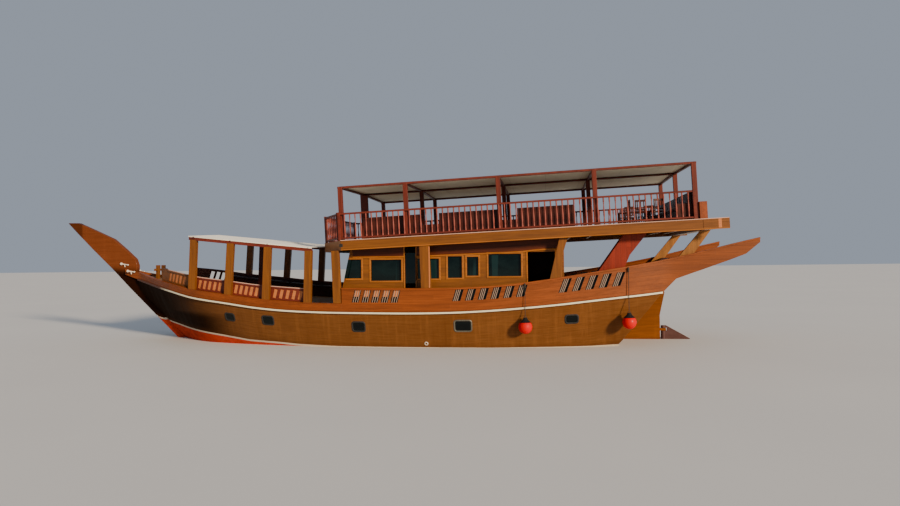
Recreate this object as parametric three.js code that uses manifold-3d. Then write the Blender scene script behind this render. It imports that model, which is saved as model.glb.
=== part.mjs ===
// Motor dhow: a wooden passenger boat of thirty metres with an upper deck under a canopy.
// Millimetres. +X is the bow, +Y is port, +Z is up. The origin is on the waterline,
// on the centreline, halfway between the tip of the stem and the tips of the quarter wings.
import * as THREE from 'three';
import { mergeVertices } from 'three/addons/utils/BufferGeometryUtils.js';
import Module from 'manifold-3d';

const wasm = await Module();
wasm.setup();

// Driving dimensions
const GAP = 0.3;                 // between pieces that rest on each other
const KEEL_HALF = 130;           // half the thickness of keel, stem and stern post
const KEEL_FOOT = -2050;         // underside of the keel
const STEM_FOOT_X = 9500;        // where the stem's front edge meets the water
const STEM_RISE = 0.955;         // rise of the stem's front edge for each unit forward
const BOW_X = 11350;             // forward end of the planked hull
const HEAD_X = 12100;            // forward end of the tables below
const WING_X = -15000;           // tips of the quarter wings
const TRANSOM_X = -11500;        // upper edge of the transom
const DECK_HEIGHT = 200;         // deck above the rub rail
const WATERWAY = 280;            // thickness of the timber that the posts stand on
const PLANK_WALL = 120;          // thickness of the aft bulwark
const GANGWAY_AFT = 660;         // where the high aft bulwark starts
const UPPER_FRONT = { x: 650, z: 4180 };   // corner of the upper deck
const UPPER_SLOPE = THREE.MathUtils.degToRad(2.39);
const UPPER_LENGTH = 14410;
const UPPER_HALF = 3750;
const FASCIA_DEPTH = 380;
const SLAB = 100;
const HOUSE_HALF = 3100;         // outer face of the deckhouse
const HOUSE_WALL = 80;
const HOUSE_AFT = -7900;
const SIDES = [['port', 1], ['starboard', -1]];

// Plan and height of the rub rail, and upper edges of what stands on it
const SHEER = [
  // x, rail height, half breadth
  [12100, 2900, 215], [11500, 2700, 250], [11000, 2600, 520], [10250, 2460, 1050],
  [9400, 2320, 1700], [8600, 2190, 2220], [7350, 1950, 2790], [5600, 1730, 3190],
  [4300, 1560, 3370], [3000, 1450, 3490], [1600, 1395, 3600], [-230, 1370, 3690],
  [-2440, 1360, 3720], [-4060, 1395, 3710], [-5170, 1455, 3690], [-6270, 1535, 3640],
  [-7720, 1665, 3550], [-8610, 1760, 3470], [-9770, 1890, 3360], [-10750, 1990, 3230],
  [-11500, 2080, 3110], [-12700, 2200, 3050], [-14160, 2400, 3010], [-15000, 2500, 2990],
];
const FORE_TOP = [
  // x, height
  [12100, 3160], [11500, 3030], [11000, 2910], [10250, 2750], [9400, 2620], [8600, 2510],
  [7350, 2290], [5600, 2090], [4300, 1930], [3000, 1830], [2000, 1765], [660, 1740],
];
const AFT_TOP = [
  // x, height
  [660, 2340], [-1220, 2320], [-2940, 2312], [-4360, 2340], [-5500, 2405], [-6510, 2510],
  [-7740, 2680], [-9200, 2900], [-10950, 3180], [-12680, 3530], [-14160, 3890], [-15000, 4080],
];
const WING_LOW = [
  // x, height of the lower edge of the quarter wing
  [-11500, 2081], [-11870, 2500], [-12420, 2730], [-13050, 2950], [-13820, 3230],
  [-14530, 3500], [-15000, 3900],
];
const HULL_FORM = [
  // x at the rail, bottom height, fullness (small is full), rake of the station
  [11350, 2150, 1.1, 0], [10250, 1099, 1.0, 0], [9100, 0, 0.9, 0], [8300, -764, 0.78, 0],
  [7600, -1370, 0.68, 0], [6900, -1600, 0.58, 0], [5600, -1650, 0.46, 0],
  [3000, -1650, 0.27, 0], [0, -1650, 0.2, 0], [-4000, -1650, 0.19, 0],
  [-6000, -1480, 0.19, 0], [-7500, -1200, 0.19, 0.02], [-8500, -980, 0.19, 0.1],
  [-9500, -790, 0.19, 0.28], [-10500, -600, 0.18, 0.52], [-11500, -450, 0.16, 0.77],
];

// A smooth curve through one column of a table whose x falls from row to row
function curve(rows, column) {
  const slope = (a, b) => (b[column] - a[column]) / (b[0] - a[0]);
  return (x) => {
    let i = 0;
    while (i < rows.length - 2 && x < rows[i + 1][0]) i += 1;
    const [a, b] = [rows[i], rows[i + 1]];
    const span = b[0] - a[0];
    const t = THREE.MathUtils.clamp((x - a[0]) / span, 0, 1);
    const m0 = i > 0 ? (slope(rows[i - 1], a) + slope(a, b)) / 2 : slope(a, b);
    const m1 = i < rows.length - 2 ? (slope(a, b) + slope(b, rows[i + 2])) / 2 : slope(a, b);
    const [t2, t3] = [t * t, t * t * t];
    return a[column] * (2 * t3 - 3 * t2 + 1) + m0 * span * (t3 - 2 * t2 + t)
      + b[column] * (3 * t2 - 2 * t3) + m1 * span * (t3 - t2);
  };
}
const railZ = curve(SHEER, 1);
const breadth = curve(SHEER, 2);
const foreTop = curve(FORE_TOP, 1);
const aftTop = curve(AFT_TOP, 1);
const wingLow = curve(WING_LOW, 1);
const deckZ = (x) => railZ(x) + DECK_HEIGHT;
const upperZ = (x) => UPPER_FRONT.z + (UPPER_FRONT.x - x) * Math.tan(UPPER_SLOPE);
const stemZ = (x) => (x - STEM_FOOT_X) * STEM_RISE;

// Places along the boat where every piece that follows the sheer has a section
const STATION_STEP = 500;
const BREAKS = [HEAD_X, BOW_X, GANGWAY_AFT, HOUSE_AFT, TRANSOM_X, WING_X];
function stations(from, to) {
  const all = [...BREAKS];
  for (let x = 12000; x > WING_X; x -= STATION_STEP) {
    if (BREAKS.every((b) => Math.abs(b - x) > STATION_STEP / 3)) all.push(x);
  }
  const inside = all.filter((x) => x < from - 1 && x > to + 1);
  return [from, ...inside.sort((a, b) => b - a), to];
}

// A closed mesh through rings of points, with flat ends, turned to face outwards
function loft(rings) {
  const count = rings[0].length;
  const points = rings.flat();
  const faces = [];
  for (let r = 0; r < rings.length - 1; r += 1) {
    for (let i = 0; i < count; i += 1) {
      const j = (i + 1) % count;
      const [a, b] = [r * count + i, r * count + j];
      faces.push([a, b, b + count], [a, b + count, a + count]);
    }
  }
  for (const [start, flip] of [[0, true], [(rings.length - 1) * count, false]]) {
    const flat = points.slice(start, start + count).map((p) => new THREE.Vector2(p.y, p.z));
    const order = THREE.ShapeUtils.isClockWise(flat);
    const cap = THREE.ShapeUtils.triangulateShape(order ? [...flat].reverse() : flat, []);
    for (const tri of cap) {
      const t = order ? tri.map((k) => count - 1 - k) : tri;
      const face = t.map((k) => start + k);
      faces.push(flip !== order ? face.reverse() : face);
    }
  }
  const geometry = new THREE.BufferGeometry();
  geometry.setAttribute('position', new THREE.Float32BufferAttribute(
    points.flatMap((p) => [p.x, p.y, p.z]), 3));
  geometry.setIndex(faces.flat());
  return faceOutwards(geometry);
}

// Volume inside an indexed mesh; negative where the faces point inwards
function volume(geometry) {
  const p = geometry.attributes.position;
  const index = geometry.index.array;
  const [a, b, c] = [new THREE.Vector3(), new THREE.Vector3(), new THREE.Vector3()];
  let sum = 0;
  for (let i = 0; i < index.length; i += 3) {
    a.fromBufferAttribute(p, index[i]);
    b.fromBufferAttribute(p, index[i + 1]);
    c.fromBufferAttribute(p, index[i + 2]);
    sum += a.dot(b.cross(c)) / 6;
  }
  return sum;
}

function faceOutwards(geometry) {
  if (volume(geometry) < 0) {
    const index = Array.from(geometry.index.array);
    for (let i = 0; i < index.length; i += 3) [index[i], index[i + 1]] = [index[i + 1], index[i]];
    geometry.setIndex(index);
  }
  return geometry;
}

// Joining and cutting
function solid(geometry) {
  const plain = geometry.clone();
  plain.deleteAttribute('normal');
  plain.deleteAttribute('uv');
  const merged = mergeVertices(plain, 1e-3);
  return new wasm.Manifold(new wasm.Mesh({
    numProp: 3,
    vertProperties: new Float32Array(merged.attributes.position.array),
    triVerts: new Uint32Array(merged.index.array),
  }));
}
const join = (pieces) => pieces.map(solid).reduce((a, b) => a.add(b));
const cut = (body, tools) => tools.map(solid).reduce((a, b) => a.subtract(b), body);
function toGeometry(body) {
  const { vertProperties, triVerts } = body.getMesh();
  const geometry = new THREE.BufferGeometry();
  geometry.setAttribute('position', new THREE.Float32BufferAttribute(vertProperties, 3));
  geometry.setIndex(Array.from(triVerts));
  return geometry;
}

// Simple forms
function box(x0, x1, y0, y1, z0, z1) {
  const geometry = new THREE.BoxGeometry(Math.abs(x1 - x0), Math.abs(y1 - y0), Math.abs(z1 - z0));
  return geometry.translate((x0 + x1) / 2, (y0 + y1) / 2, (z0 + z1) / 2);
}
// A bar from p to q, wide along the boat or across, and deep the other way
function bar(p, q, width, depth) {
  const [start, end] = [new THREE.Vector3(...p), new THREE.Vector3(...q)];
  const along = end.clone().sub(start);
  const length = along.length();
  along.normalize();
  const lying = Math.abs(along.z) < 0.7;
  const side = lying ? new THREE.Vector3(0, 0, 1).cross(along) : new THREE.Vector3(0, 1, 0).cross(along);
  side.normalize();
  const third = along.clone().cross(side);
  const basis = new THREE.Matrix4().makeBasis(side, third, along);
  const geometry = new THREE.BoxGeometry(width, depth, length).translate(0, 0, length / 2);
  return geometry.applyMatrix4(basis).translate(start.x, start.y, start.z);
}
// A plate cut to an outline in the fore and aft plane, from y0 to y1
function plate(outline, y0, y1) {
  const shape = new THREE.Shape(outline.map(([x, z]) => new THREE.Vector2(x, z)));
  const geometry = new THREE.ExtrudeGeometry(shape, { depth: Math.abs(y1 - y0), bevelEnabled: false });
  return geometry.rotateX(Math.PI / 2).translate(0, Math.max(y0, y1), 0);
}
const ring = (x, points, side = 1) => points.map(([y, z]) => new THREE.Vector3(x, y * side, z));
// A block that holds everything below a height that follows the sheer
const below = (height) => loft(stations(HEAD_X, WING_X).map((x) => (
  ring(x, [[-5000, -3000], [-5000, height(x) + GAP], [5000, height(x) + GAP], [5000, -3000]]))));

// Woods, cloths and metals
const finish = (color, roughness = 0.5, metalness = 0) => (
  () => new THREE.MeshStandardMaterial({ color, roughness, metalness }));
const hullWood = finish(0x9a5a22, 0.35);
const bulwarkWood = finish(0xa8521c, 0.4);
const goldWood = finish(0xb8701e, 0.4);
const redWood = finish(0x7a2a16, 0.45);
const deckWood = finish(0x9c7a50, 0.7);
const bottomPaint = finish(0x8c2018, 0.6);
const railPaint = finish(0xe6dcc4, 0.5);
const awningCloth = finish(0xe6dfcd, 0.9);
const canopyCanvas = finish(0xb7a888, 0.9);
const darkGlass = finish(0x12201f, 0.1);
const bronze = finish(0x8a6a34, 0.35, 1);
const darkLeather = finish(0x3a1512, 0.6);
const fenderRubber = finish(0xc81e14, 0.4);

const boat = new THREE.Group();
function add(name, shape, material, parent = boat) {
  const geometry = shape.isBufferGeometry ? shape : toGeometry(shape);
  const mesh = new THREE.Mesh(geometry, material());
  mesh.name = name;
  parent.add(mesh);
  return mesh;
}

// Hull
const HULL_LEVELS = 9;
const hullBottom = curve(HULL_FORM, 1);
const hullFullness = curve(HULL_FORM, 2);
const hullRake = curve(HULL_FORM, 3);
function hullSection(x) {
  const [top, low] = [railZ(x), hullBottom(x)];
  const port = [];
  for (let i = 0; i <= HULL_LEVELS; i += 1) {
    const t = (i / HULL_LEVELS) ** 2.4;
    const z = low + (top - low) * t;
    const y = KEEL_HALF + (breadth(x) - KEEL_HALF) * t ** hullFullness(x);
    port.push(new THREE.Vector3(x + hullRake(x) * (top - z), y, z));
  }
  const starboard = port.map((p) => new THREE.Vector3(p.x, -p.y, p.z)).reverse();
  return [...port, ...starboard];
}
const hull = loft(stations(BOW_X, TRANSOM_X).map(hullSection));
add('hull', hull, hullWood);

// Keel with deadwood, propeller aperture, stern post, rudder straps and sole piece
const POST_AFT = -11860;
const RUDDER_AXIS = -12000;
const APERTURE = { fore: -10150, aft: -11250, low: -1780, high: -420 };
const SHAFT_Z = -1100;
const SHAFT_R = 60;
const PIN_R = 45;
const PIN_FACETS = 16;
const SHAFT_FACETS = 24;
const RUN = 0.6;                 // running clearance at a pin or shaft
function upright(radius, x, z0, z1, facets = PIN_FACETS, turn = 0) {
  const geometry = new THREE.CylinderGeometry(radius, radius, z1 - z0, facets, 1, false, turn);
  return geometry.rotateX(Math.PI / 2).translate(x, 0, (z0 + z1) / 2);
}
function lengthwise(radius, x0, x1, z, turn = 0) {
  const geometry = new THREE.CylinderGeometry(radius, radius, x1 - x0, SHAFT_FACETS, 1, false, turn);
  return geometry.rotateZ(Math.PI / 2).translate((x0 + x1) / 2, 0, z);
}
const holeRadius = (radius, facets) => (radius + RUN) / Math.cos(Math.PI / facets);
const SOLE = { top: KEEL_FOOT + 150, end: -12150 };
const STRAP = { low: 350, high: 450, end: -12110, half: 95 };
function keel() {
  const profile = plate([
    [7150, -1500], [7300, KEEL_FOOT], [SOLE.end, KEEL_FOOT], [SOLE.end, SOLE.top],
    [POST_AFT, SOLE.top], [POST_AFT, 1000], [-12070, 1960], [-11560, 2020], [-9700, 0],
    [-8000, -900], [-5000, -1300], [0, -1500],
  ], -KEEL_HALF, KEEL_HALF);
  const strap = box(POST_AFT + 60, STRAP.end, -STRAP.half, STRAP.half, STRAP.low, STRAP.high);
  const aperture = box(APERTURE.fore, APERTURE.aft, -400, 400, APERTURE.low, APERTURE.high);
  const hole = holeRadius(PIN_R, PIN_FACETS);
  const halfFacet = Math.PI / PIN_FACETS;
  const holes = [
    upright(hole, RUDDER_AXIS, STRAP.low - 10, STRAP.high + 10, PIN_FACETS, halfFacet),
    upright(hole, RUDDER_AXIS, KEEL_FOOT + 60, SOLE.top + 10, PIN_FACETS, halfFacet),
    lengthwise(holeRadius(SHAFT_R, SHAFT_FACETS), APERTURE.fore - 10, APERTURE.fore + 700, SHAFT_Z,
      Math.PI / SHAFT_FACETS),
  ];
  const seat = hull.clone().translate(0, 0, -GAP - 0.1);
  return cut(join([profile, strap]), [seat, aperture, ...holes]);
}
add('keel', keel(), bottomPaint);

// Stem with its head board
function stem() {
  const front = [9500, 10370, 11250, 11860].map((x) => [x, stemZ(x)]);
  const outline = [
    [7310, KEEL_FOOT], [7440, KEEL_FOOT + 60], ...front,
    [12740, 3140], [13680, 4020], [14520, 4840], [15000, 5330],
    [14470, 5320], [13660, 4970], [12700, 4540], [12060, 4010], [11610, 3600],
    [11510, 3300], [11530, 3000], [11500, 2720], [11000, 2300], [9500, 600], [7160, -1490],
  ];
  const seat = hull.clone().translate(GAP, 0, -GAP);
  return cut(solid(plate(outline, -KEEL_HALF, KEEL_HALF)), [seat]);
}
add('stem', stem(), bulwarkWood);

// Rub rails, main deck and fore bulwarks
const RUB = { high: 50, deep: 60 };
const FORE_END = 12050;
for (const [side, s] of SIDES) {
  add(`rub_rail_${side}`, loft(stations(BOW_X, TRANSOM_X).map((x) => {
    const [y, z] = [breadth(x) + GAP, railZ(x)];
    return ring(x, [[y, z - RUB.high], [y + RUB.deep, z - RUB.high],
      [y + RUB.deep, z + RUB.high], [y, z + RUB.high]], s);
  })), railPaint);
  add(`fore_bulwark_${side}`, loft(stations(FORE_END, GANGWAY_AFT + GAP).map((x) => {
    const y = breadth(x);
    const inner = Math.max(y - WATERWAY, KEEL_HALF + GAP);
    const foot = railZ(x) + GAP;
    return ring(x, [[y, foot], [y, foreTop(x)], [inner, foreTop(x)], [inner, foot]], s);
  })), bulwarkWood);
}
const DECK_FORE = 11000;
const deckHalf = (x) => breadth(x) - WATERWAY - GAP;
const deckBlock = loft(stations(DECK_FORE, TRANSOM_X).map((x) => ring(x, [
  [-deckHalf(x), railZ(x) + GAP], [deckHalf(x), railZ(x) + GAP],
  [deckHalf(x), deckZ(x)], [-deckHalf(x), deckZ(x)]])));
add('main_deck', deckBlock, deckWood);

// Aft bulwarks: waterway, plank wall, cap, slots and quarter wing
const CAP = { high: 60, out: 30, wide: 200 };
const FOOT_RISE = { aft: 230, wing: 20 };   // top of the timber at the foot of the plank wall
const SLOT_GROUPS = [
  // first x, spacing, count, width, height, middle above the rail, lean aft over the height
  [50, 385, 5, 270, 470, 640, 120], [-3910, 480, 6, 300, 430, 650, 135],
  [-7920, 492, 5, 300, 500, 690, 200],
];
function slots(y0, y1) {
  return SLOT_GROUPS.flatMap(([first, pitch, count, width, height, middle, lean]) => (
    Array.from({ length: count }, (_, i) => {
      const corners = [[-1, -1], [1, -1], [1, 1], [-1, 1]].map(([across, up]) => {
        const x = first - i * pitch + across * width / 2 - up * lean / 2;
        return [x, railZ(x) + middle + up * height / 2];
      });
      return plate(corners, y0, y1);
    })));
}
const walls = [];
for (const [side, s] of SIDES) {
  const wall = loft(stations(GANGWAY_AFT, WING_X).map((x) => {
    const [y, top] = [breadth(x), aftTop(x)];
    const wing = x < TRANSOM_X - 1;
    const foot = wing ? wingLow(x) : railZ(x) + GAP;
    const step = wing ? foot + FOOT_RISE.wing : railZ(x) + FOOT_RISE.aft;
    const inner = y - (wing ? PLANK_WALL + 1 : WATERWAY);
    return ring(x, [
      [y, foot], [y, top - CAP.high], [y + CAP.out, top - CAP.high], [y + CAP.out, top],
      [y + CAP.out - CAP.wide, top], [y + CAP.out - CAP.wide, top - CAP.high],
      [y - PLANK_WALL, top - CAP.high], [y - PLANK_WALL, step], [inner, step], [inner, foot],
    ], s);
  }));
  walls.push(wall.clone().translate(0, -s * GAP, 0));
  add(`aft_bulwark_${side}`, cut(solid(wall), slots(s * 3000, s * 4000)), bulwarkWood);
}

// Stern board between the bulwarks and beam between the quarter wings
const STERN_BOARD = { z0: 2085, z1: 3350, rake: 0.77, thick: 90 };
function sternBoard() {
  const half = breadth(TRANSOM_X) - PLANK_WALL / 2;
  const foot = TRANSOM_X + 100;
  const lean = (STERN_BOARD.z1 - STERN_BOARD.z0) * STERN_BOARD.rake;
  const rows = [[foot, STERN_BOARD.z0 + DECK_HEIGHT], [foot - lean, STERN_BOARD.z1]];
  return plate([rows[0], rows[1], [rows[1][0] - STERN_BOARD.thick, rows[1][1] + 20],
    [rows[0][0] - STERN_BOARD.thick, rows[0][1] + 20]], -half, half);
}
add('stern_board', cut(solid(sternBoard()), walls), bulwarkWood);
const sternSeats = [[GAP, 0], [-GAP, 0], [0, GAP], [GAP, GAP], [-GAP, GAP]].map(([x, z]) => (
  sternBoard().translate(x, 0, z)));
const STERN_BEAM = { x: -14100, half: 80, low: 3480, high: 3620 };
const beamEnd = breadth(STERN_BEAM.x) - PLANK_WALL / 2;
const sternBeam = box(STERN_BEAM.x - STERN_BEAM.half, STERN_BEAM.x + STERN_BEAM.half,
  -beamEnd, beamEnd, STERN_BEAM.low, STERN_BEAM.high);
add('stern_beam', cut(solid(sternBeam), walls), bulwarkWood);

// Fore awning: a row of posts with an edge beam on each side, rafters with a ridge, and cloth
const AWNING = [
  // x of the foot, x of the head, height of the head
  [7380, 7250, 4330], [5600, 5440, 4130], [3890, 3770, 3960], [2100, 2030, 3790],
];
const AWNING_POST = { wide: 300, deep: 150 };
const AWNING_BEAM = 80;
const RIDGE_RISE = 130;
const AWNING_RAFTER = { wide: 80, deep: 60, above: 38 };
const POST_INSET = 90;          // post centre inside the outer face of the bulwark
const rowY = (x) => breadth(x) - POST_INSET;
const AWNING_ENDS = [7480, 1880];
const [headFore, headAft] = [AWNING[0], AWNING[3]];
const headZ = (x) => headAft[2]
  + (x - headAft[1]) * (headFore[2] - headAft[2]) / (headFore[1] - headAft[1]);
const onFore = below(foreTop);
for (const [side, s] of SIDES) {
  const posts = AWNING.map(([foot, head]) => bar(
    [foot, s * rowY(foot), foreTop(foot) - 120], [head, s * rowY(head), headZ(head) + 20],
    AWNING_POST.wide, AWNING_POST.deep));
  const marks = [AWNING_ENDS[0], ...AWNING.map(([, head]) => head), AWNING_ENDS[1]];
  const beams = marks.slice(1).map((x, i) => bar(
    [marks[i], s * rowY(marks[i]), headZ(marks[i]) + AWNING_BEAM / 2],
    [x, s * rowY(x), headZ(x) + AWNING_BEAM / 2], AWNING_BEAM, AWNING_BEAM));
  add(`awning_posts_${side}`, cut(join([...posts, ...beams]), [onFore]), goldWood);
}
const rafterFoot = (x) => headZ(x) + AWNING_BEAM + AWNING_RAFTER.above;
const rafterZ = (x, y) => rafterFoot(x) + RIDGE_RISE * (1 - y / rowY(x));
const CLOTH = { thick: 24, over: 60, ends: 60, above: 26 };
function foreCloth() {
  const xs = [AWNING_ENDS[0] + CLOTH.ends, 7250, 6300, 5440, 4600, 3770, 2900, 2030, AWNING_ENDS[1]];
  return loft(xs.map((x) => {
    const y = rowY(x) + CLOTH.over;
    const [lip, crest] = [rafterZ(x, y) + CLOTH.above, rafterZ(x, 0) + CLOTH.above];
    return ring(x, [[-y, lip], [0, crest], [y, lip], [y, lip + CLOTH.thick],
      [0, crest + CLOTH.thick], [-y, lip + CLOTH.thick]]);
  }));
}
const foreClothShape = foreCloth();
add('awning_cloth', foreClothShape, awningCloth);
function rafters() {
  const beams = AWNING.flatMap(([, x]) => SIDES.map(([, s]) => bar(
    [x, s * (rowY(x) + 50), rafterZ(x, rowY(x) + 50)], [x, -s * 20, rafterZ(x, 0)],
    AWNING_RAFTER.wide, AWNING_RAFTER.deep)));
  const [bow, stern] = AWNING_ENDS;
  const ridge = bar([bow, 0, rafterZ(bow, 0)], [stern, 0, rafterZ(stern, 0)], 90, AWNING_RAFTER.deep);
  const post = bar([5560, 0, deckZ(5560) - 40], [5440, 0, rafterFoot(5440) + RIDGE_RISE], 220, 170);
  const seats = [0, CLOTH.thick, 2 * CLOTH.thick].map((rise) => (
    foreClothShape.clone().translate(0, 0, rise - GAP)));
  return cut(join([...beams, ridge, post]), [below(deckZ), ...seats]);
}
add('awning_rafters', rafters(), goldWood);

// Fore rails: a cap, a sill and a board with slanted slots in each bay
const FORE_RAIL = { fore: 9500, aft: 2000, top: 545 };
const FORE_BAYS = [[9005, 7765], [7250, 5870], [5480, 4180], [3755, 2245]];
const FORE_SLOT = { wide: 145, high: 360, middle: 250, slant: THREE.MathUtils.degToRad(14) };
const SLOTS_IN_BAY = 5;
const RAIL_Y = { out: 228, in: 268 };   // faces of the board, inside the bulwark's outer face
const RAIL_CAP = { high: 50, in: 30 };
for (const [side, s] of SIDES) {
  const wall = loft(stations(FORE_RAIL.fore, FORE_RAIL.aft).map((x) => {
    const y = breadth(x);
    const [z0, z1] = [foreTop(x) + GAP, foreTop(x) + FORE_RAIL.top];
    const [out, back, capBack] = [y - RAIL_Y.out, y - RAIL_Y.in, y - RAIL_Y.in - RAIL_CAP.in];
    const capZ = z1 - RAIL_CAP.high;
    return ring(x, [[out, z0], [out, capZ], [out + 1, capZ], [out + 1, z1], [capBack, z1],
      [capBack, capZ], [back, capZ], [back, z0]], s);
  }));
  const holes = FORE_BAYS.flatMap(([from, to]) => {
    const pitch = (from - to) / (SLOTS_IN_BAY + 0.6);
    return Array.from({ length: SLOTS_IN_BAY }, (_, i) => {
      const x = (from + to) / 2 + ((SLOTS_IN_BAY - 1) / 2 - i) * pitch;
      const geometry = new THREE.BoxGeometry(FORE_SLOT.wide, 700, FORE_SLOT.high);
      geometry.rotateY(-FORE_SLOT.slant);
      return geometry.translate(x, s * (breadth(x) - RAIL_Y.out - 20), foreTop(x) + FORE_SLOT.middle);
    });
  });
  add(`fore_rail_${side}`, cut(solid(wall), holes), redWood);
}

// Benches along the fore rails
const FORE_BENCH = { fore: 8000, aft: 2500, back: 90, seat: 470, high: 430, rise: 500 };
for (const [side, s] of SIDES) {
  add(`fore_bench_${side}`, loft(stations(FORE_BENCH.fore, FORE_BENCH.aft).map((x) => {
    const outer = breadth(x) - RAIL_Y.in - RAIL_CAP.in - GAP;
    const [foot, top] = [deckZ(x) + GAP, foreTop(x) + FORE_BENCH.rise];
    return ring(x, [[outer, foot], [outer, top], [outer - FORE_BENCH.back, top],
      [outer - FORE_BENCH.back, foot + FORE_BENCH.high], [outer - FORE_BENCH.seat, foot + FORE_BENCH.high],
      [outer - FORE_BENCH.seat, foot]], s);
  })), darkLeather);
}

// Upper deck: planking with its fascia all round, beams below and the stair hatch
const upper = new THREE.Group();
upper.position.set(UPPER_FRONT.x, 0, UPPER_FRONT.z);
upper.rotation.y = UPPER_SLOPE;
upper.updateMatrixWorld(true);
boat.add(upper);
const toBoat = (geometry) => geometry.clone().applyMatrix4(upper.matrixWorld);
const NOSE = { x: 1150, half: 2200 };
const SLAB_AFT = -13700;
const FASCIA = 110;
const HATCH = { fore: -9900, aft: -11500, in: 2210, out: 3110 };
function deckOutline(inset) {
  const shape = [[0, UPPER_HALF], [NOSE.x, NOSE.half], [NOSE.x, -NOSE.half], [0, -UPPER_HALF],
    [SLAB_AFT, -UPPER_HALF], [SLAB_AFT, UPPER_HALF]];
  const scale = (v) => Math.sign(v) * (Math.abs(v) - inset);
  return shape.map(([x, y], i) => new THREE.Vector2(
    i < 4 ? x - inset * (i % 3 === 0 ? 0.6 : 1) : x + inset, scale(y)));
}
function flatPlate(points, z0, z1) {
  const geometry = new THREE.ExtrudeGeometry(new THREE.Shape(points),
    { depth: z1 - z0, bevelEnabled: false });
  return geometry.translate(0, 0, z0);
}
const BEAM_DEEP = 160;
const DECK_BEAMS = [-8900, -9800, -11950, -12700, -13350];
const BEAM_HALF = UPPER_HALF - 50;
function upperDeck() {
  const block = flatPlate(deckOutline(0), -FASCIA_DEPTH, 0);
  const hollow = flatPlate(deckOutline(FASCIA), -FASCIA_DEPTH - 10, -SLAB);
  const tails = SIDES.map(([, s]) => box(SLAB_AFT + 50, -UPPER_LENGTH,
    s * UPPER_HALF, s * (UPPER_HALF - FASCIA), -FASCIA_DEPTH, 0));
  const beams = DECK_BEAMS.map((x) => (
    box(x - 50, x + 50, -BEAM_HALF, BEAM_HALF, -SLAB - BEAM_DEEP, -SLAB / 2)));
  beams.push(box(500, 620, -2900, 2900, -SLAB - BEAM_DEEP, -SLAB / 2));
  beams.push(box(SLAB_AFT + 50, SLAB_AFT - 260, -BEAM_HALF, BEAM_HALF,
    -FASCIA_DEPTH, -FASCIA_DEPTH + BEAM_DEEP));
  const hatch = box(HATCH.fore, HATCH.aft, HATCH.in, HATCH.out, -400, 100);
  const frame = [...tails, ...beams].map(solid);
  return cut(frame.reduce((a, b) => a.add(b), cut(solid(block), [hollow])), [hatch]);
}
const upperDeckGeometry = toGeometry(upperDeck());
add('upper_deck', upperDeckGeometry, goldWood, upper);
// A block that holds everything above a depth under the upper deck's top
const aboveUpper = (depth) => toBoat(box(-16000, 2500, -5000, 5000, -depth - GAP, 3000 - depth));

// Side posts and slanted quarter pillars that carry the upper deck
const SIDE_POSTS = [
  // name, x, width, foot
  ['fore', 845, 310, foreTop], ['aft', -2695, 380, aftTop],
];
const PILLARS = [
  // name, outline, inner and outer face
  ['fore', [[-7300, 2400], [-7800, 2400], [-7830, 3500], [-8080, 4300], [-7760, 4300]], 3420, 3580],
  ['aft', [[-11850, 3050], [-12350, 3050], [-13460, 4600], [-13135, 4600]], 2730, 2870],
];
const underFascia = aboveUpper(FASCIA_DEPTH);
for (const [side, s] of SIDES) {
  for (const [name, x, width, foot] of SIDE_POSTS) {
    const y = s * (breadth(x) - 90);
    const post = bar([x, y, foot(x) - 100], [x + 90, y, upperZ(x)], width, 180);
    const ground = below(foot);
    add(`side_post_${name}_${side}`, cut(solid(post), [ground, underFascia]), goldWood);
  }
  for (const [name, outline, y0, y1] of PILLARS) {
    const pillar = plate(outline, s * y0, s * y1);
    const seats = name === 'fore' ? [below(aftTop)] : sternSeats;
    add(`quarter_pillar_${name}_${side}`, cut(solid(pillar), [...seats, underFascia]), goldWood);
  }
}

// Stair from the main deck to the hatch, on the port side
const STAIR = { in: 2260, out: 3060, board: 60, treads: 9, foot: [-9150, 2080], run: [-1480, 2360] };
function stair() {
  const outline = [[-8550, 2000], [-9500, 2000], [-10100, 2880], [-10230, 3240], [-10340, 3490],
    [-11380, 4800], [-10520, 4800]];
  const boards = [[STAIR.out - STAIR.board, STAIR.out], [STAIR.in, STAIR.in + STAIR.board]]
    .map(([y0, y1]) => plate(outline, y0, y1));
  const treads = Array.from({ length: STAIR.treads }, (_, i) => {
    const t = (i + 0.8) / STAIR.treads;
    const [x, z] = [0, 1].map((k) => STAIR.foot[k] + t * STAIR.run[k]);
    return box(x - 130, x + 130, STAIR.in + 20, STAIR.out - 20, z - 20, z + 20);
  });
  return cut(join([...boards, ...treads]), [below(deckZ), aboveUpper(SLAB)]);
}
add('stair', stair(), redWood);

// Deckhouse: side walls with windows and a doorway, raked front, aft wall with two door leaves
const WINDOWS = [
  // fore edge, aft edge, sill, head
  [1500, 0, 2680, 3450], [-370, -1615, 2580, 3430], [-1750, -2170, 1900, 4000],
  [-2230, -3110, 2650, 3450], [-3430, -4010, 2670, 3530], [-4180, -4650, 2750, 3500],
  [-5010, -6290, 2720, 3600],
];
const DOORWAY = { fore: -6530, aft: -7560, head: 3650 };
const frontLine = (z) => 700 - (z - 2730) * 0.222;
const GLASS = { thick: 20, aft: -6400, low: 2480, high: 3680 };
const FRONT_GLASS = { half: 2900, low: 2560, high: 3720 };
const FRONT_LIGHTS = [[-2800, -1480], [-1400, -60], [60, 1400], [1480, 2800]];
const FRONT_LIGHT_Z = [2640, 3640];
const underSlab = aboveUpper(SLAB);
const houseFront = (ahead) => plate([[frontLine(1000) + ahead, 1000], [frontLine(5000) + ahead, 5000],
  [3000, 5000], [3000, 1000]], -4000, 4000);
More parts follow.
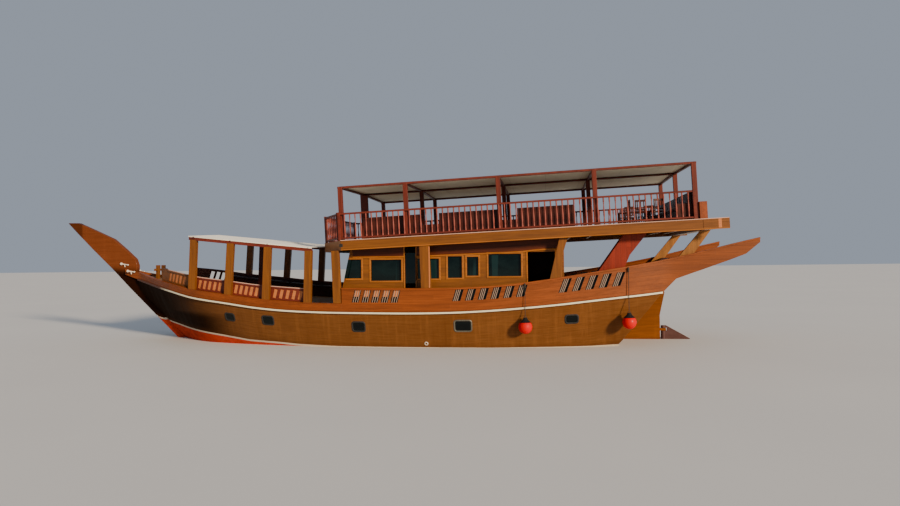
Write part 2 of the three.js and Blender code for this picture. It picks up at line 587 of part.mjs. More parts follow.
function sideWall(s) {
  const wall = loft(stations(1500, HOUSE_AFT).map((x) => ring(x, [
    [HOUSE_HALF, deckZ(x) + GAP], [HOUSE_HALF, 5200], [HOUSE_HALF - HOUSE_WALL, 5200],
    [HOUSE_HALF - HOUSE_WALL, deckZ(x) + GAP]], s)));
  const holes = WINDOWS.map(([fore, aft, sill, head]) => (
    box(fore, aft, s * 2800, s * 3400, sill, head)));
  if (s > 0) {
    holes.push(box(DOORWAY.fore, DOORWAY.aft, 2800, 3400, deckZ(-7000) + 120, DOORWAY.head));
  }
  return cut(solid(wall), [...holes, houseFront(-HOUSE_WALL - GAP), underSlab]);
}
const INNER = HOUSE_HALF - HOUSE_WALL - GAP;
for (const [side, s] of SIDES) {
  add(`deckhouse_wall_${side}`, sideWall(s), goldWood);
  const pane = box(1500, GLASS.aft, s * (INNER - GLASS.thick), s * INNER, GLASS.low, GLASS.high);
  add(`side_glass_${side}`, cut(solid(pane), [houseFront(-HOUSE_WALL - 2 * GAP)]), darkGlass);
}
function deckhouseFront() {
  const wall = plate([[frontLine(1000), 1000], [frontLine(5000), 5000],
    [frontLine(5000) - HOUSE_WALL, 5000], [frontLine(1000) - HOUSE_WALL, 1000]],
  -HOUSE_HALF, HOUSE_HALF);
  const holes = FRONT_LIGHTS.map(([y0, y1]) => box(0, 1500, y0, y1, ...FRONT_LIGHT_Z));
  return cut(solid(wall), [...holes, below(deckZ), underSlab]);
}
add('deckhouse_front', deckhouseFront(), goldWood);
const paneCorner = (z, depth) => [frontLine(z) - HOUSE_WALL - GAP - depth, z];
const { low: paneLow, high: paneHigh, half: paneHalf } = FRONT_GLASS;
add('front_glass', plate([paneCorner(paneLow, 0), paneCorner(paneHigh, 0),
  paneCorner(paneHigh, GLASS.thick), paneCorner(paneLow, GLASS.thick)], -paneHalf, paneHalf), darkGlass);
const DOOR = { half: 760, low: 105, high: 1950, thick: 45, clear: 8, inset: 5 };
const HINGE = { radius: 18, high: 110, strap: 220, heights: [300, 1000, 1650] };
const HINGE_X = HOUSE_AFT - HINGE.radius - RUN;
function deckhouseAft() {
  const wall = box(HOUSE_AFT, HOUSE_AFT + HOUSE_WALL, -INNER, INNER, 1500, 5200);
  const sill = deckZ(HOUSE_AFT);
  const hole = box(HOUSE_AFT - 100, HOUSE_AFT + 200, -DOOR.half, DOOR.half, sill + DOOR.low,
    sill + DOOR.high);
  return cut(solid(wall), [hole, below(deckZ), underSlab]);
}
add('deckhouse_aft', deckhouseAft(), goldWood);
for (const [side, s] of SIDES) {
  const sill = deckZ(HOUSE_AFT);
  const leaf = box(HOUSE_AFT + DOOR.inset, HOUSE_AFT + DOOR.inset + DOOR.thick,
    s * (DOOR.half - DOOR.clear), s * 4, sill + DOOR.low + DOOR.clear, sill + DOOR.high - DOOR.clear);
  const hinges = HINGE.heights.flatMap((z) => [
    upright(HINGE.radius, HINGE_X, sill + z, sill + z + HINGE.high).translate(0, s * DOOR.half, 0),
    box(HINGE_X, HOUSE_AFT + DOOR.inset + 10, s * (DOOR.half - DOOR.clear),
      s * (DOOR.half - HINGE.strap), sill + z + 20, sill + z + HINGE.high - 20)]);
  const light = box(HOUSE_AFT - 100, HOUSE_AFT + 200, s * (DOOR.half - 140), s * 140,
    sill + 1000, sill + DOOR.high - 150);
  add(`aft_door_${side}`, join([toGeometry(cut(solid(leaf), [light])), ...hinges]), redWood);
}

// Upper balustrades
const RAIL = { y: 3690, deep: 60, low: 60, lowHigh: 60, top: 1070, topHigh: 70 };
const BALUSTER = { side: 50, pitch: 215 };
const NEWEL = { side: 100, every: 12, rise: 25 };
const RAIL_AFT = -13250;
function fence(points) {
  const pieces = [];
  for (let i = 0; i < points.length - 1; i += 1) {
    const [a, b] = [new THREE.Vector2(...points[i]), new THREE.Vector2(...points[i + 1])];
    const length = a.distanceTo(b);
    const count = Math.max(1, Math.round(length / BALUSTER.pitch));
    pieces.push(bar([a.x, a.y, RAIL.low + RAIL.lowHigh / 2], [b.x, b.y, RAIL.low + RAIL.lowHigh / 2],
      RAIL.deep, RAIL.lowHigh));
    pieces.push(bar([a.x, a.y, RAIL.top - RAIL.topHigh / 2], [b.x, b.y, RAIL.top - RAIL.topHigh / 2],
      RAIL.deep + 20, RAIL.topHigh));
    for (let k = i === 0 ? 0 : 1; k <= count; k += 1) {
      const p = a.clone().lerp(b, k / count);
      const end = k === 0 || k === count;
      const half = (end ? NEWEL.side : BALUSTER.side) / 2;
      const foot = end || k % NEWEL.every === 0 ? GAP : RAIL.low + 10;
      pieces.push(box(p.x - half, p.x + half, p.y - half, p.y + half,
        foot, end ? RAIL.top + NEWEL.rise : RAIL.top - 20));
    }
  }
  return join(pieces);
}
for (const [side, s] of SIDES) {
  add(`upper_rail_${side}`, fence([[30, s * RAIL.y], [RAIL_AFT, s * RAIL.y]]), redWood, upper);
}
const FRONT_RAIL = [[110, 3590], [NOSE.x - 70, 2140], [NOSE.x - 70, -2140], [110, -3590]];
add('upper_rail_front', fence(FRONT_RAIL), redWood, upper);
const AFT_BOARD = { fore: -13415, aft: -13685, half: 3700, high: 640 };
add('aft_board', box(AFT_BOARD.fore, AFT_BOARD.aft, -AFT_BOARD.half, AFT_BOARD.half, GAP,
  AFT_BOARD.high), bulwarkWood, upper);

// Canopy: a centre frame of posts, spine and rafters, a row of posts with a beam on each side,
// and cloth
const CANOPY_POSTS = [-30, -2620, -6200, -9760, -13315];
const CANOPY = { edge: 2110, crown: 2160, beam: 80, half: 3560, wide: 170, foreWide: 320, deep: 150 };
const CANOPY_ENDS = [CANOPY_POSTS[0] + 100, CANOPY_POSTS[4] - 100];
const [CANOPY_BEAM_HALF, SPINE_HALF] = [50, 40];
const canopyPost = (x, y, wide, top) => box(x - wide / 2, x + wide / 2, y - CANOPY.deep / 2,
  y + CANOPY.deep / 2, GAP, top - CANOPY.beam / 2);
function canopyFrame() {
  const half = CANOPY.beam / 2;
  const end = CANOPY.half - CANOPY.deep / 2 - 2;
  const posts = CANOPY_POSTS.map((x, i) => (
    canopyPost(x, 0, i ? CANOPY.wide : CANOPY.foreWide, CANOPY.crown)));
  const rafters = CANOPY_POSTS.flatMap((x) => [-1, 1].map((s) => bar(
    [x, s * end, CANOPY.edge - half], [x, -s * 5, CANOPY.crown - half], 90, CANOPY.beam)));
  const spine = box(...CANOPY_ENDS, -SPINE_HALF, SPINE_HALF, CANOPY.crown - CANOPY.beam, CANOPY.crown);
  return join([...posts, ...rafters, spine]);
}
add('canopy_frame', canopyFrame(), redWood, upper);
for (const [side, s] of SIDES) {
  const posts = CANOPY_POSTS.map((x) => canopyPost(x, s * CANOPY.half, CANOPY.wide, CANOPY.edge));
  const beam = box(...CANOPY_ENDS, s * CANOPY.half - CANOPY_BEAM_HALF, s * CANOPY.half + CANOPY_BEAM_HALF,
    CANOPY.edge - CANOPY.beam, CANOPY.edge);
  add(`canopy_posts_${side}`, join([...posts, beam]), redWood, upper);
}
function canopyCloth() {
  const [edge, inner] = [CANOPY.half + 20, CANOPY.half - CANOPY.deep / 2];
  const [low, high, thick] = [CANOPY.edge + GAP, CANOPY.crown + GAP, 12];
  const under = [[-edge, low], [-inner, low], [-SPINE_HALF - 1, high], [SPINE_HALF + 1, high],
    [inner, low], [edge, low]];
  const over = under.map(([y, z]) => [y, z + thick]).reverse();
  return loft(CANOPY_ENDS.map((x) => ring(x, [...under, ...over])));
}
add('canopy_cloth', canopyCloth(), canopyCanvas, upper);

// Benches and table on the upper deck
const BENCH = { y: 3400, deep: 500, seat: 430, back: 850, thick: 110 };
const BENCH_BACKS = [[-850, -3150], [-3850, -6100], [-6850, -9000]];
for (const [side, s] of SIDES) {
  const seats = box(-850, -9000, s * (BENCH.y - BENCH.deep), s * BENCH.y, GAP, BENCH.seat);
  const backs = BENCH_BACKS.map(([fore, aft]) => (
    box(fore, aft, s * (BENCH.y - BENCH.thick), s * BENCH.y, BENCH.seat - 10, BENCH.back)));
  add(`bench_${side}`, join([seats, ...backs]), darkLeather, upper);
}
const TABLE = { x: -11900, y: -1700, long: 1500, wide: 800, high: 740 };
function table() {
  const top = box(TABLE.x - TABLE.long / 2, TABLE.x + TABLE.long / 2,
    TABLE.y - TABLE.wide / 2, TABLE.y + TABLE.wide / 2, TABLE.high - 40, TABLE.high);
  const legs = [-1, 1].map((k) => box(TABLE.x + k * 500 - 40, TABLE.x + k * 500 + 40,
    TABLE.y - 250, TABLE.y + 250, GAP, TABLE.high - 30));
  return join([top, ...legs]);
}
add('upper_table', table(), redWood, upper);

// Bow bitts
const BITTS = { x: 10400, half: 70, apart: 220, high: 620, bolster: 480, bolsterZ: [360, 460] };
function bitts() {
  const { x, half } = BITTS;
  const z = deckZ(x);
  const posts = [-1, 1].map((s) => box(x - half, x + half, s * BITTS.apart - half,
    s * BITTS.apart + half, z - 100, z + BITTS.high));
  const bolster = box(x - 50, x + 50, -BITTS.bolster, BITTS.bolster,
    ...BITTS.bolsterZ.map((rise) => z + rise));
  return cut(join([...posts, bolster]), [below(deckZ)]);
}
add('bow_bitts', bitts(), goldWood);

// Rudder with its stock and pintles
const RUDDER = { thick: 120, low: SOLE.top + 15, top: 560, chord: 1080 };
function rudder() {
  const a = RUDDER_AXIS;
  const blade = plate([[a, RUDDER.low], [a - RUDDER.chord, RUDDER.low], [a - RUDDER.chord - 60, -600],
    [a - RUDDER.chord + 20, 30], [a - 130, RUDDER.top], [a, RUDDER.top]],
  -RUDDER.thick / 2, RUDDER.thick / 2);
  const nose = upright(90, a, RUDDER.low, RUDDER.top, 24);
  const notch = box(a + 200, a - 160, -300, 300, STRAP.low - 15, STRAP.high + 15);
  const pin = upright(PIN_R, a, KEEL_FOOT + 62, RUDDER.top);
  return cut(join([blade, nose]), [notch]).add(solid(pin));
}
add('rudder', rudder(), bottomPaint);

// Propeller with its shaft
const PROP = { x: -10700, blades: 4, radius: 620, hub: 110 };
function propeller() {
  const pieces = [lengthwise(SHAFT_R, PROP.x - 100, APERTURE.fore + 650, SHAFT_Z),
    lengthwise(PROP.hub, PROP.x - 130, PROP.x + 130, SHAFT_Z)];
  for (let i = 0; i < PROP.blades; i += 1) {
    const shape = new THREE.Shape();
    shape.moveTo(-60, 40);
    shape.quadraticCurveTo(-230, 300, -150, PROP.radius - 60);
    shape.quadraticCurveTo(0, PROP.radius + 60, 150, PROP.radius - 60);
    shape.quadraticCurveTo(230, 300, 60, 40);
    const blade = new THREE.ExtrudeGeometry(shape, { depth: 30, bevelEnabled: false, curveSegments: 5 });
    blade.translate(0, 0, -15).rotateX(Math.PI / 2).rotateZ(0.9);
    blade.rotateX(Math.PI / 2 + i * Math.PI * 2 / PROP.blades);
    pieces.push(blade.translate(PROP.x, 0, SHAFT_Z));
  }
  return join(pieces);
}
add('propeller', propeller(), bronze);

// Fenders, each with its rope over the port side
const FENDERS = [['fore', -6430, 850], ['aft', -10240, 1000]];
const FENDER_R = 260;
const ROPE = 22;
function hullSide(x, z) {
  const rail = x - hullRake(x) * (railZ(x) - z);
  const t = (z - hullBottom(rail)) / (railZ(rail) - hullBottom(rail));
  return KEEL_HALF + (breadth(rail) - KEEL_HALF) * t ** hullFullness(rail);
}
for (const [name, x, z] of FENDERS) {
  const y = Math.max(hullSide(x, z) + FENDER_R + 25, breadth(x) + 2 * RUB.deep);
  const ball = new THREE.SphereGeometry(FENDER_R, 16, 12).rotateX(Math.PI / 2).translate(x, y, z);
  const neck = upright(70, 0, z + FENDER_R - 40, z + FENDER_R + 90, 12).translate(x, y, 0);
  const rope = bar([x, y, z + FENDER_R + 50],
    [x, breadth(x) + CAP.out + ROPE / 2 + 0.8, aftTop(x) - 30], ROPE, ROPE);
  add(`fender_${name}`, join([ball, neck, rope]), fenderRubber);
}

export default boat;
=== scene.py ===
"""Motor dhow: a wooden passenger boat with an upper deck under a canopy.

Metres. +X is the bow, +Y is port, +Z is up, and the water lies at Z = 0.
"""
import itertools
import math

import bmesh
import bpy
import numpy as np
from mathutils import Matrix, Vector
from mathutils.bvhtree import BVHTree


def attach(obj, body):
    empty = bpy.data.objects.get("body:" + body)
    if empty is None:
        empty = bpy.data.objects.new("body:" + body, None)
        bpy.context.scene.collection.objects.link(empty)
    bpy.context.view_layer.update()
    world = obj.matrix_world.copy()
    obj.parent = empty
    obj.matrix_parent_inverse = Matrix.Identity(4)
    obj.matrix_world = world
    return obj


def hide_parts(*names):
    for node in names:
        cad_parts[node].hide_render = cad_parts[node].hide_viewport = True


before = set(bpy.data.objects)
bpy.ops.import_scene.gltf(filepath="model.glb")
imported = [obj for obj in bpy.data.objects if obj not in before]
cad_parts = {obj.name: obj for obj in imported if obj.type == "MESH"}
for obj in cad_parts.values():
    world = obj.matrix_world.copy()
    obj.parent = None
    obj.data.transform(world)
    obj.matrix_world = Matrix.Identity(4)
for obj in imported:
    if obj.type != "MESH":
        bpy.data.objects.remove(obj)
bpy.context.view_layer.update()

bl_info = {
    "name": "Motor dhow",
    "version": (1, 0, 0),
    "blender": (4, 5, 0),
    "location": "3D View > Sidebar > Dhow",
    "description": "Builds the finishes and fittings of a wooden motor dhow around its frame",
    "category": "Object",
}

SIDES = (("port", 1), ("starboard", -1))
UPPER_FRONT = Vector((0.65, 0, 4.18))
UPPER_SLOPE = math.radians(2.39)
SOFFIT_FRONT = (0.65, 4.06)  # x and z of the front of the upper deck's underside
HOUSE_FOOT = (0.7, 2.73)  # x and z of the foot of the deckhouse's front
HOUSE_LEAN = 0.222  # how far that leans aft over a metre of height
HEAD_AFT = (2.03, 3.79)  # x and z of the aft end of the fore awning's side beams
HEAD_RISE, HEAD_RUN = 0.54, 5.22
OUTSIDE = 6.0  # a distance from the middle that is outside the hull


# Settings
def colour(name, default, about):
    return bpy.props.FloatVectorProperty(
        name=name, description=about, default=default, size=3, min=0, max=1, subtype="COLOR")


def length(name, default, about):
    return bpy.props.FloatProperty(
        name=name, description=about, default=default, min=0, unit="LENGTH", subtype="DISTANCE")


class DhowColours(bpy.types.PropertyGroup):
    """Colours of the woods, paints and cloths"""
    varnish: colour("Hull varnish", (0.168, 0.066, 0.019), "Golden brown planking of the hull")
    varnish_dark: colour("Dark hull varnish", (0.098, 0.032, 0.006), "Darker strakes of the hull")
    bulwark: colour("Bulwark", (0.215, 0.048, 0.003), "Orange brown planks above the rub rail")
    gold: colour("Golden wood", (0.165, 0.054, 0.006), "Posts, fascia and deckhouse")
    mahogany: colour("Mahogany", (0.125, 0.019, 0.009), "Balustrades, canopy frame and stair")
    deck: colour("Deck planks", (0.26, 0.15, 0.07), "Scrubbed planks that are walked on")
    bottom: colour("Bottom paint", (0.46, 0.045, 0.018), "Paint below the boot stripe")
    stripe: colour("Boot stripe", (0.75, 0.66, 0.52), "Pale stripe above the bottom paint")
    rail: colour("Rub rail", (0.70, 0.66, 0.48), "Cream paint of the rub rail")
    awning: colour("Awning cloth", (0.80, 0.76, 0.66), "Cloth over the fore deck")
    canopy: colour("Canopy cloth", (0.93, 0.86, 0.60), "Cloth over the upper deck")
    leather: colour("Benches", (0.020, 0.003, 0.002), "Upholstery of the benches")
    fender: colour("Fenders", (0.56, 0.0, 0.001), "Inflated fenders")
    baluster: colour("Balusters", (0.26, 0.060, 0.045), "Sunlit turned balusters")
    slot_board: colour("Slot boards", (0.50, 0.165, 0.050), "Pale boards behind the slots")
    # the cap's pale colour is partly its own and partly a painted highlight where the sun catches
    # the top of the rails
    rail_cap: colour("Rail cap", (0.60, 0.36, 0.28), "Pale cap of the fore rails")
    soffit: colour("Soffit", (0.50, 0.42, 0.34), "Paint under the upper deck")


class DhowSizes(bpy.types.PropertyGroup):
    """Sizes of the fittings that the frame doesn't hold"""
    strake: length("Strake", 0.21, "Height of one plank of the hull")
    board: length("Board", 0.17, "Height of one bulwark board")
    deck_plank: length("Deck plank", 0.12, "Width of one deck plank")
    edge: length("Edge", 0.008, "Rounding of the timber edges")
    baluster: length("Baluster spacing", 0.215, "Distance between balusters")
    canopy_sag: length("Canopy sag", 0.05, "How far the canopy cloth hangs between its frames")
    awning_sag: length("Awning sag", 0.035, "How far the awning cloth hangs between its rafters")


# Shader maths
class Num:
    """A number socket. Its operators add Math nodes and give their result."""

    def __init__(self, look, socket):
        self.look, self.socket = look, socket

    def __add__(self, other): return self.look.math("ADD", self, other)
    def __sub__(self, other): return self.look.math("SUBTRACT", self, other)
    def __mul__(self, other): return self.look.math("MULTIPLY", self, other)
    def __truediv__(self, other): return self.look.math("DIVIDE", self, other)
    def __rsub__(self, other): return self.look.math("SUBTRACT", other, self)
    def __rtruediv__(self, other): return self.look.math("DIVIDE", other, self)

    __radd__, __rmul__ = __add__, __mul__

    def floor(self): return self.look.math("FLOOR", self)
    def fract(self): return self.look.math("FRACT", self)
    def abs(self): return self.look.math("ABSOLUTE", self)
    def larger(self, other): return self.look.math("MAXIMUM", self, other)

    def off_middle(self):
        """How far a number is from the middle between two whole ones, so 0.5 at a joint."""
        return (self.fract() - 0.5).abs()

    def ramp(self, low, high, first=0.0, last=1.0):
        """Rises smoothly from first at low to last at high."""
        return self.look.node(
            "ShaderNodeMapRange", {"interpolation_type": "SMOOTHSTEP"},
            {"Value": self, "From Min": low, "From Max": high, "To Min": first, "To Max": last})


class Look:
    """A material under construction: a Principled shader and the nodes that feed it."""

    def __init__(self, name):
        self.material = bpy.data.materials.new(name)
        self.material.use_nodes = True
        self.tree = self.material.node_tree
        self.shader = next(n for n in self.tree.nodes if n.type == "BSDF_PRINCIPLED")

    def node(self, kind, settings=None, inputs=None, output=0):
        made = self.tree.nodes.new(kind)
        for key, value in (settings or {}).items():
            setattr(made, key, value)
        for key, value in (inputs or {}).items():
            self.feed(made.inputs[key], value)
        return Num(self, made.outputs[output])

    def feed(self, socket, value):
        if isinstance(value, Num):
            self.tree.links.new(value.socket, socket)
        elif hasattr(value, "__len__") and socket.type == "RGBA":
            socket.default_value = (*value[:3], 1.0)
        else:
            socket.default_value = value

    def set(self, **inputs):
        """Feeds the shader's inputs, whose names are given in small letters."""
        for key, value in inputs.items():
            name = key.replace("_", " ").title().replace("Ior", "IOR")
            self.feed(self.shader.inputs[name], value)

    def math(self, operation, *values):
        return self.node("ShaderNodeMath", {"operation": operation}, dict(enumerate(values)))

    def attribute(self, name, output="Vector"):
        return self.node("ShaderNodeAttribute", {"attribute_name": name}, output=output)

    def part(self, vector, axis):
        return self.node("ShaderNodeSeparateXYZ", None, {0: vector}, output=axis)

    def noise(self, vector, stretch, detail=3.0, roughness=0.55):
        """Noise over a vector, at a scale of its own along each axis."""
        scaled = self.node("ShaderNodeVectorMath", {"operation": "MULTIPLY"},
                           {0: vector, 1: stretch})
        return self.node("ShaderNodeTexNoise", None, {
            "Vector": scaled, "Scale": 1.0, "Detail": detail, "Roughness": roughness})

    def cell(self, x, y, z=0.0):
        """A steady random number for each whole place."""
        whole = self.node("ShaderNodeCombineXYZ", None, {0: x, 1: y, 2: z})
        return self.node("ShaderNodeTexWhiteNoise", {"noise_dimensions": "3D"}, {"Vector": whole})

    def mix(self, factor, first, second):
        return self.node("ShaderNodeMix", {"data_type": "RGBA"},
                         {0: factor, 6: first, 7: second}, output=2)

    def bump(self, height, distance, strength):
        self.set(normal=self.node("ShaderNodeBump", None, {
            "Height": height, "Distance": distance, "Strength": strength}))


def shade(tint, factor):
    """A lighter or darker tint."""
    return tuple(min(1.0, c * factor) for c in tint)


# Finishes
def grained(name):
    """A new look, and the stored grain: along, up and across the piece, in metres."""
    look = Look(name)
    return look, look.attribute("grain")


def planks(look, grain, pitch, run, seam, butt, spread, seeds):
    """A tone for each plank, and the joints between planks.

    pitch is a plank's width and run its length. seam and butt are the joints' parts of them.
    spread is how many planks a row may be shifted by, and seeds make the shift and the tone.
    """
    row = look.part(grain, 1) / pitch
    along = look.part(grain, 0) / run + look.cell(row.floor(), seeds[0]) * spread
    tone = look.cell(row.floor(), along.floor(), seeds[1])
    seams = row.off_middle().ramp(0.5 - seam, 0.5)
    return tone, seams.larger(along.off_middle().ramp(0.5 - butt, 0.5))


def wood(name, tint, pitch=0.0, run=4.0, gloss=0.45, coat=0.06, contrast=0.35, seam=0.006):
    """Varnished timber. pitch is the width of a plank and run its length, and 0 has no planks."""
    look, grain = grained(name)
    fine = look.noise(grain, (1.2, 34.0, 34.0), 4.0, 0.6)
    broad = look.noise(grain, (0.35, 5.0, 5.0), 2.0)
    figure = (fine * 0.55 + broad * 0.45).ramp(0.32, 0.68)
    base = look.mix(figure, shade(tint, 1 - contrast), shade(tint, 1 + 0.5 * contrast))
    height = fine * 0.12
    rough = fine.ramp(0.3, 0.7, gloss, gloss + 0.12)
    if pitch:
        tone, joint = planks(look, grain, pitch, run, seam / pitch, 0.5 * seam / run, 7.0,
                             (3.7, 11.3))
        base = look.mix(tone * 0.42, base, shade(tint, 0.55))
        base = look.mix(joint * 0.75, base, shade(tint, 0.22))
        height = height - joint + tone * 0.15
        rough = rough + joint * 0.3
    wear = look.noise(grain, (0.5, 0.9, 0.9), 5.0, 0.65).ramp(0.5, 0.78)
    base = look.mix(wear * 0.18, base, shade(tint, 1.75))
    look.set(base_color=base, roughness=rough, coat_weight=coat, coat_roughness=0.15,
             specular_ior_level=0.25)
    look.bump(height, 0.004, 0.5)
    return look.material


def hull_finish(name, tint, dark, colours, sizes, streaks=0.45, shadow=(5.0, 9.5), tip=30.0):
    """Varnished strakes over a boot stripe and bottom paint, with runs and scuffs.

    shadow gives where the painted shade of the bow starts and where it is deepest, and tip
    where the dark end of the stem's head begins.
    """
    plank_run, stripe_height, blend = 5.5, 0.07, 0.004
    shadow_top, low_shadow, low_shadow_top = 2.2, (4.7, 7.2), 1.25
    look, grain = grained(name)
    boot = look.attribute("boot", "Fac")
    along = look.part(grain, 0)
    tone, joint = planks(look, grain, sizes.strake, plank_run, 0.03, 0.0006, 5.0, (1.9, 4.4))
    fine = look.noise(grain, (1.5, 26.0, 4.0), 4.0, 0.6)
    streak = look.noise(grain, (4.6, 0.24, 1.0), 5.0, 0.68)
    cloud = look.noise(grain, (0.22, 0.5, 0.5))
    base = look.mix(fine.ramp(0.3, 0.7, 0.40, 1.0), dark, tint)
    base = look.mix(tone * 0.25, base, shade(tint, 0.66))
    base = look.mix(streak.ramp(0.50, 0.74) * streaks, base, shade(tint, 1.45))
    base = look.mix((1.0 - streak).ramp(0.52, 0.74) * streaks, base, dark)
    base = look.mix(cloud.ramp(0.35, 0.7) * 0.45, base, dark)
    # painted shade: the bow's flare turns away from the low sun, so it is darkened forward of
    # shadow up to shadow_top over the boot stripe, and lower down forward of low_shadow
    bow_shade = along.ramp(*shadow) * (shadow_top - boot).ramp(0.0, 0.45)
    bow_shade = bow_shade.larger(along.ramp(*low_shadow) * (low_shadow_top - boot).ramp(0.0, 0.6))
    base = look.mix(bow_shade * 0.96, base, shade(dark, 0.08))
    base = look.mix(along.ramp(tip, tip + 0.12) * 0.7, base, shade(dark, 0.4))
    base = look.mix(joint * 0.35, base, shade(dark, 0.45))
    worn = look.noise(grain, (3.0, 6.0, 3.0), 5.0, 0.7)
    bottom = look.mix(worn.ramp(0.35, 0.75), colours.bottom, shade(colours.bottom, 0.55))
    stripe = look.mix(worn.ramp(0.5, 0.8) * 0.5, colours.stripe, shade(colours.stripe, 0.5))
    ragged = boot + (worn - 0.5) * 0.012
    below = (0.0 - ragged).ramp(-blend, blend)
    on_stripe = ragged.ramp(-blend, blend) * (stripe_height - ragged).ramp(-blend, blend)
    base = look.mix(below, base, bottom)
    base = look.mix(on_stripe, base, stripe)
    # darker just above the boot stripe
    near_stripe_dark = (0.30 - ragged).ramp(0.0, 0.22) * (1.0 - below)
    base = look.mix(near_stripe_dark * 0.35, base, shade(dark, 0.7))
    rough = streak.ramp(0.3, 0.7, 0.30, 0.46) + below * 0.3 + on_stripe * 0.2 + bow_shade * 0.3
    look.set(base_color=base, roughness=rough, coat_weight=(1.0 - below) * (1.0 - bow_shade) * 0.08,
             coat_roughness=0.16, specular_ior_level=0.03)
    look.bump(fine * 0.06 - joint * 0.35 + tone * 0.08 + cloud * 0.15, 0.006, 0.45)
    return look.material


def paint(name, tint, rough, wear):
    """Brushed paint, chalky and worn in patches."""
    look, grain = grained(name)
    brush = look.noise(grain, (2.0, 40.0, 40.0))
    patch = look.noise(grain, (2.2, 5.0, 5.0), 5.0, 0.7)
    base = look.mix(patch.ramp(0.42, 0.75) * wear, tint, shade(tint, 0.5))
    base = look.mix(brush.ramp(0.35, 0.7) * 0.18, base, shade(tint, 1.25))
    look.set(base_color=base, roughness=patch.ramp(0.3, 0.7, rough, rough + 0.2))
    look.bump(brush * 0.5 + patch, 0.002, 0.4)
    return look.material


def rail_finish(name, tint, edges):
    """Cream paint on the face of the rub rail, darker above, below and towards the bow."""
    half_height, dark_band_from = (0.029, 0.035), (8.7, 9.5)
    look, grain = grained(name)
    patch = look.noise(grain, (2.2, 9.0, 5.0), 5.0, 0.7)
    brush = look.noise(grain, (1.5, 60.0, 40.0))
    base = look.mix(patch.ramp(0.45, 0.75) * 0.35, tint, shade(tint, 0.55))
    base = look.mix(brush.ramp(0.35, 0.7) * 0.15, base, shade(tint, 1.2))
    dark_band = (look.part(grain, 1).abs() + (patch - 0.5) * 0.01).ramp(*half_height)
    dark_band = dark_band.larger((look.part(grain, 0) + (patch - 0.5) * 0.8).ramp(*dark_band_from))
    base = look.mix(dark_band, base, edges)
    look.set(base_color=base, roughness=patch.ramp(0.3, 0.7, 0.42, 0.62))
    look.bump(brush * 0.4 + patch + dark_band * 0.6, 0.002, 0.4)
    return look.material


def cloth(name, tint):
    """Woven canvas with sewn widths, dust and a soft sheen."""
    weave, width = 0.012, 1.45
    look, grain = grained(name)
    along, up = look.part(grain, 0), look.part(grain, 1)
    threads = (along / weave).off_middle() + (up / weave).off_middle()
    dust = look.noise(grain, (0.8, 0.8, 0.8), 5.0, 0.65)
    stain = look.noise(grain, (0.3, 2.2, 1.0), 4.0, 0.7)
    base = look.mix(dust.ramp(0.35, 0.75) * 0.35, tint, shade(tint, 0.68))
    base = look.mix(stain.ramp(0.5, 0.8) * 0.3, base, shade(tint, 0.8))
    sewn = (along / width).off_middle().ramp(0.485, 0.5)
    base = look.mix(sewn * 0.45, base, shade(tint, 0.6))
    look.set(base_color=base, roughness=0.88, sheen_weight=0.25, sheen_roughness=0.5)
    look.bump(threads * 0.4 + sewn * 1.5 + dust * 0.6, 0.003, 0.5)
    return look.material


def glass(name, tint, blinds):
    """Tinted glass with a faint film of salt, and blinds that show behind parts of it."""
    look, grain = grained(name)
    film = look.noise(grain, (1.5, 2.5, 1.0), 4.0)
    drawn = look.noise(grain, (1.9, 0.10, 1.0), 2.0)
    base = look.mix(film.ramp(0.3, 0.8), tint, shade(tint, 2.2))
    base = look.mix(drawn.ramp(0.50, 0.56) * blinds, base, shade(tint, 5.0))
    look.set(base_color=base, roughness=film.ramp(0.35, 0.8, 0.04, 0.16), specular_ior_level=0.22)
    return look.material


def metal(name, tint, rough, metallic):
    """Cast or turned metal, dulled in patches."""
    look, grain = grained(name)
    patch = look.noise(grain, (6.0, 6.0, 6.0), 5.0, 0.65)
    base = look.mix(patch.ramp(0.4, 0.75), tint, shade(tint, 0.45))
    look.set(base_color=base, roughness=patch.ramp(0.3, 0.7, rough, rough + 0.25),
             metallic=metallic)
    look.bump(patch, 0.002, 0.3)
    return look.material


def leather(name, tint):
    """Upholstery with a pebbled grain and rubbed crowns."""
    look, grain = grained(name)
    pebble = look.node("ShaderNodeTexVoronoi", None, {"Vector": grain, "Scale": 120.0})
    rub = look.noise(grain, (2.0, 3.0, 3.0), 4.0)
    base = look.mix(rub.ramp(0.45, 0.75) * 0.6, tint, shade(tint, 2.0))
    look.set(base_color=base, roughness=rub.ramp(0.3, 0.7, 0.38, 0.6))
    look.bump(pebble * 0.5 + rub, 0.002, 0.4)
    return look.material


def rubber(name, tint):
    """Inflated fender skin: smooth, scuffed and faintly dusty."""
    look, grain = grained(name)
    scuff = look.noise(grain, (9.0, 9.0, 9.0), 5.0, 0.7)
    base = look.mix(scuff.ramp(0.52, 0.8) * 0.5, tint, shade(tint, 0.45))
    look.set(base_color=base, roughness=scuff.ramp(0.3, 0.7, 0.3, 0.55), specular_ior_level=0.12)
    look.bump(scuff, 0.001, 0.3)
    return look.material


LOOKS = {}


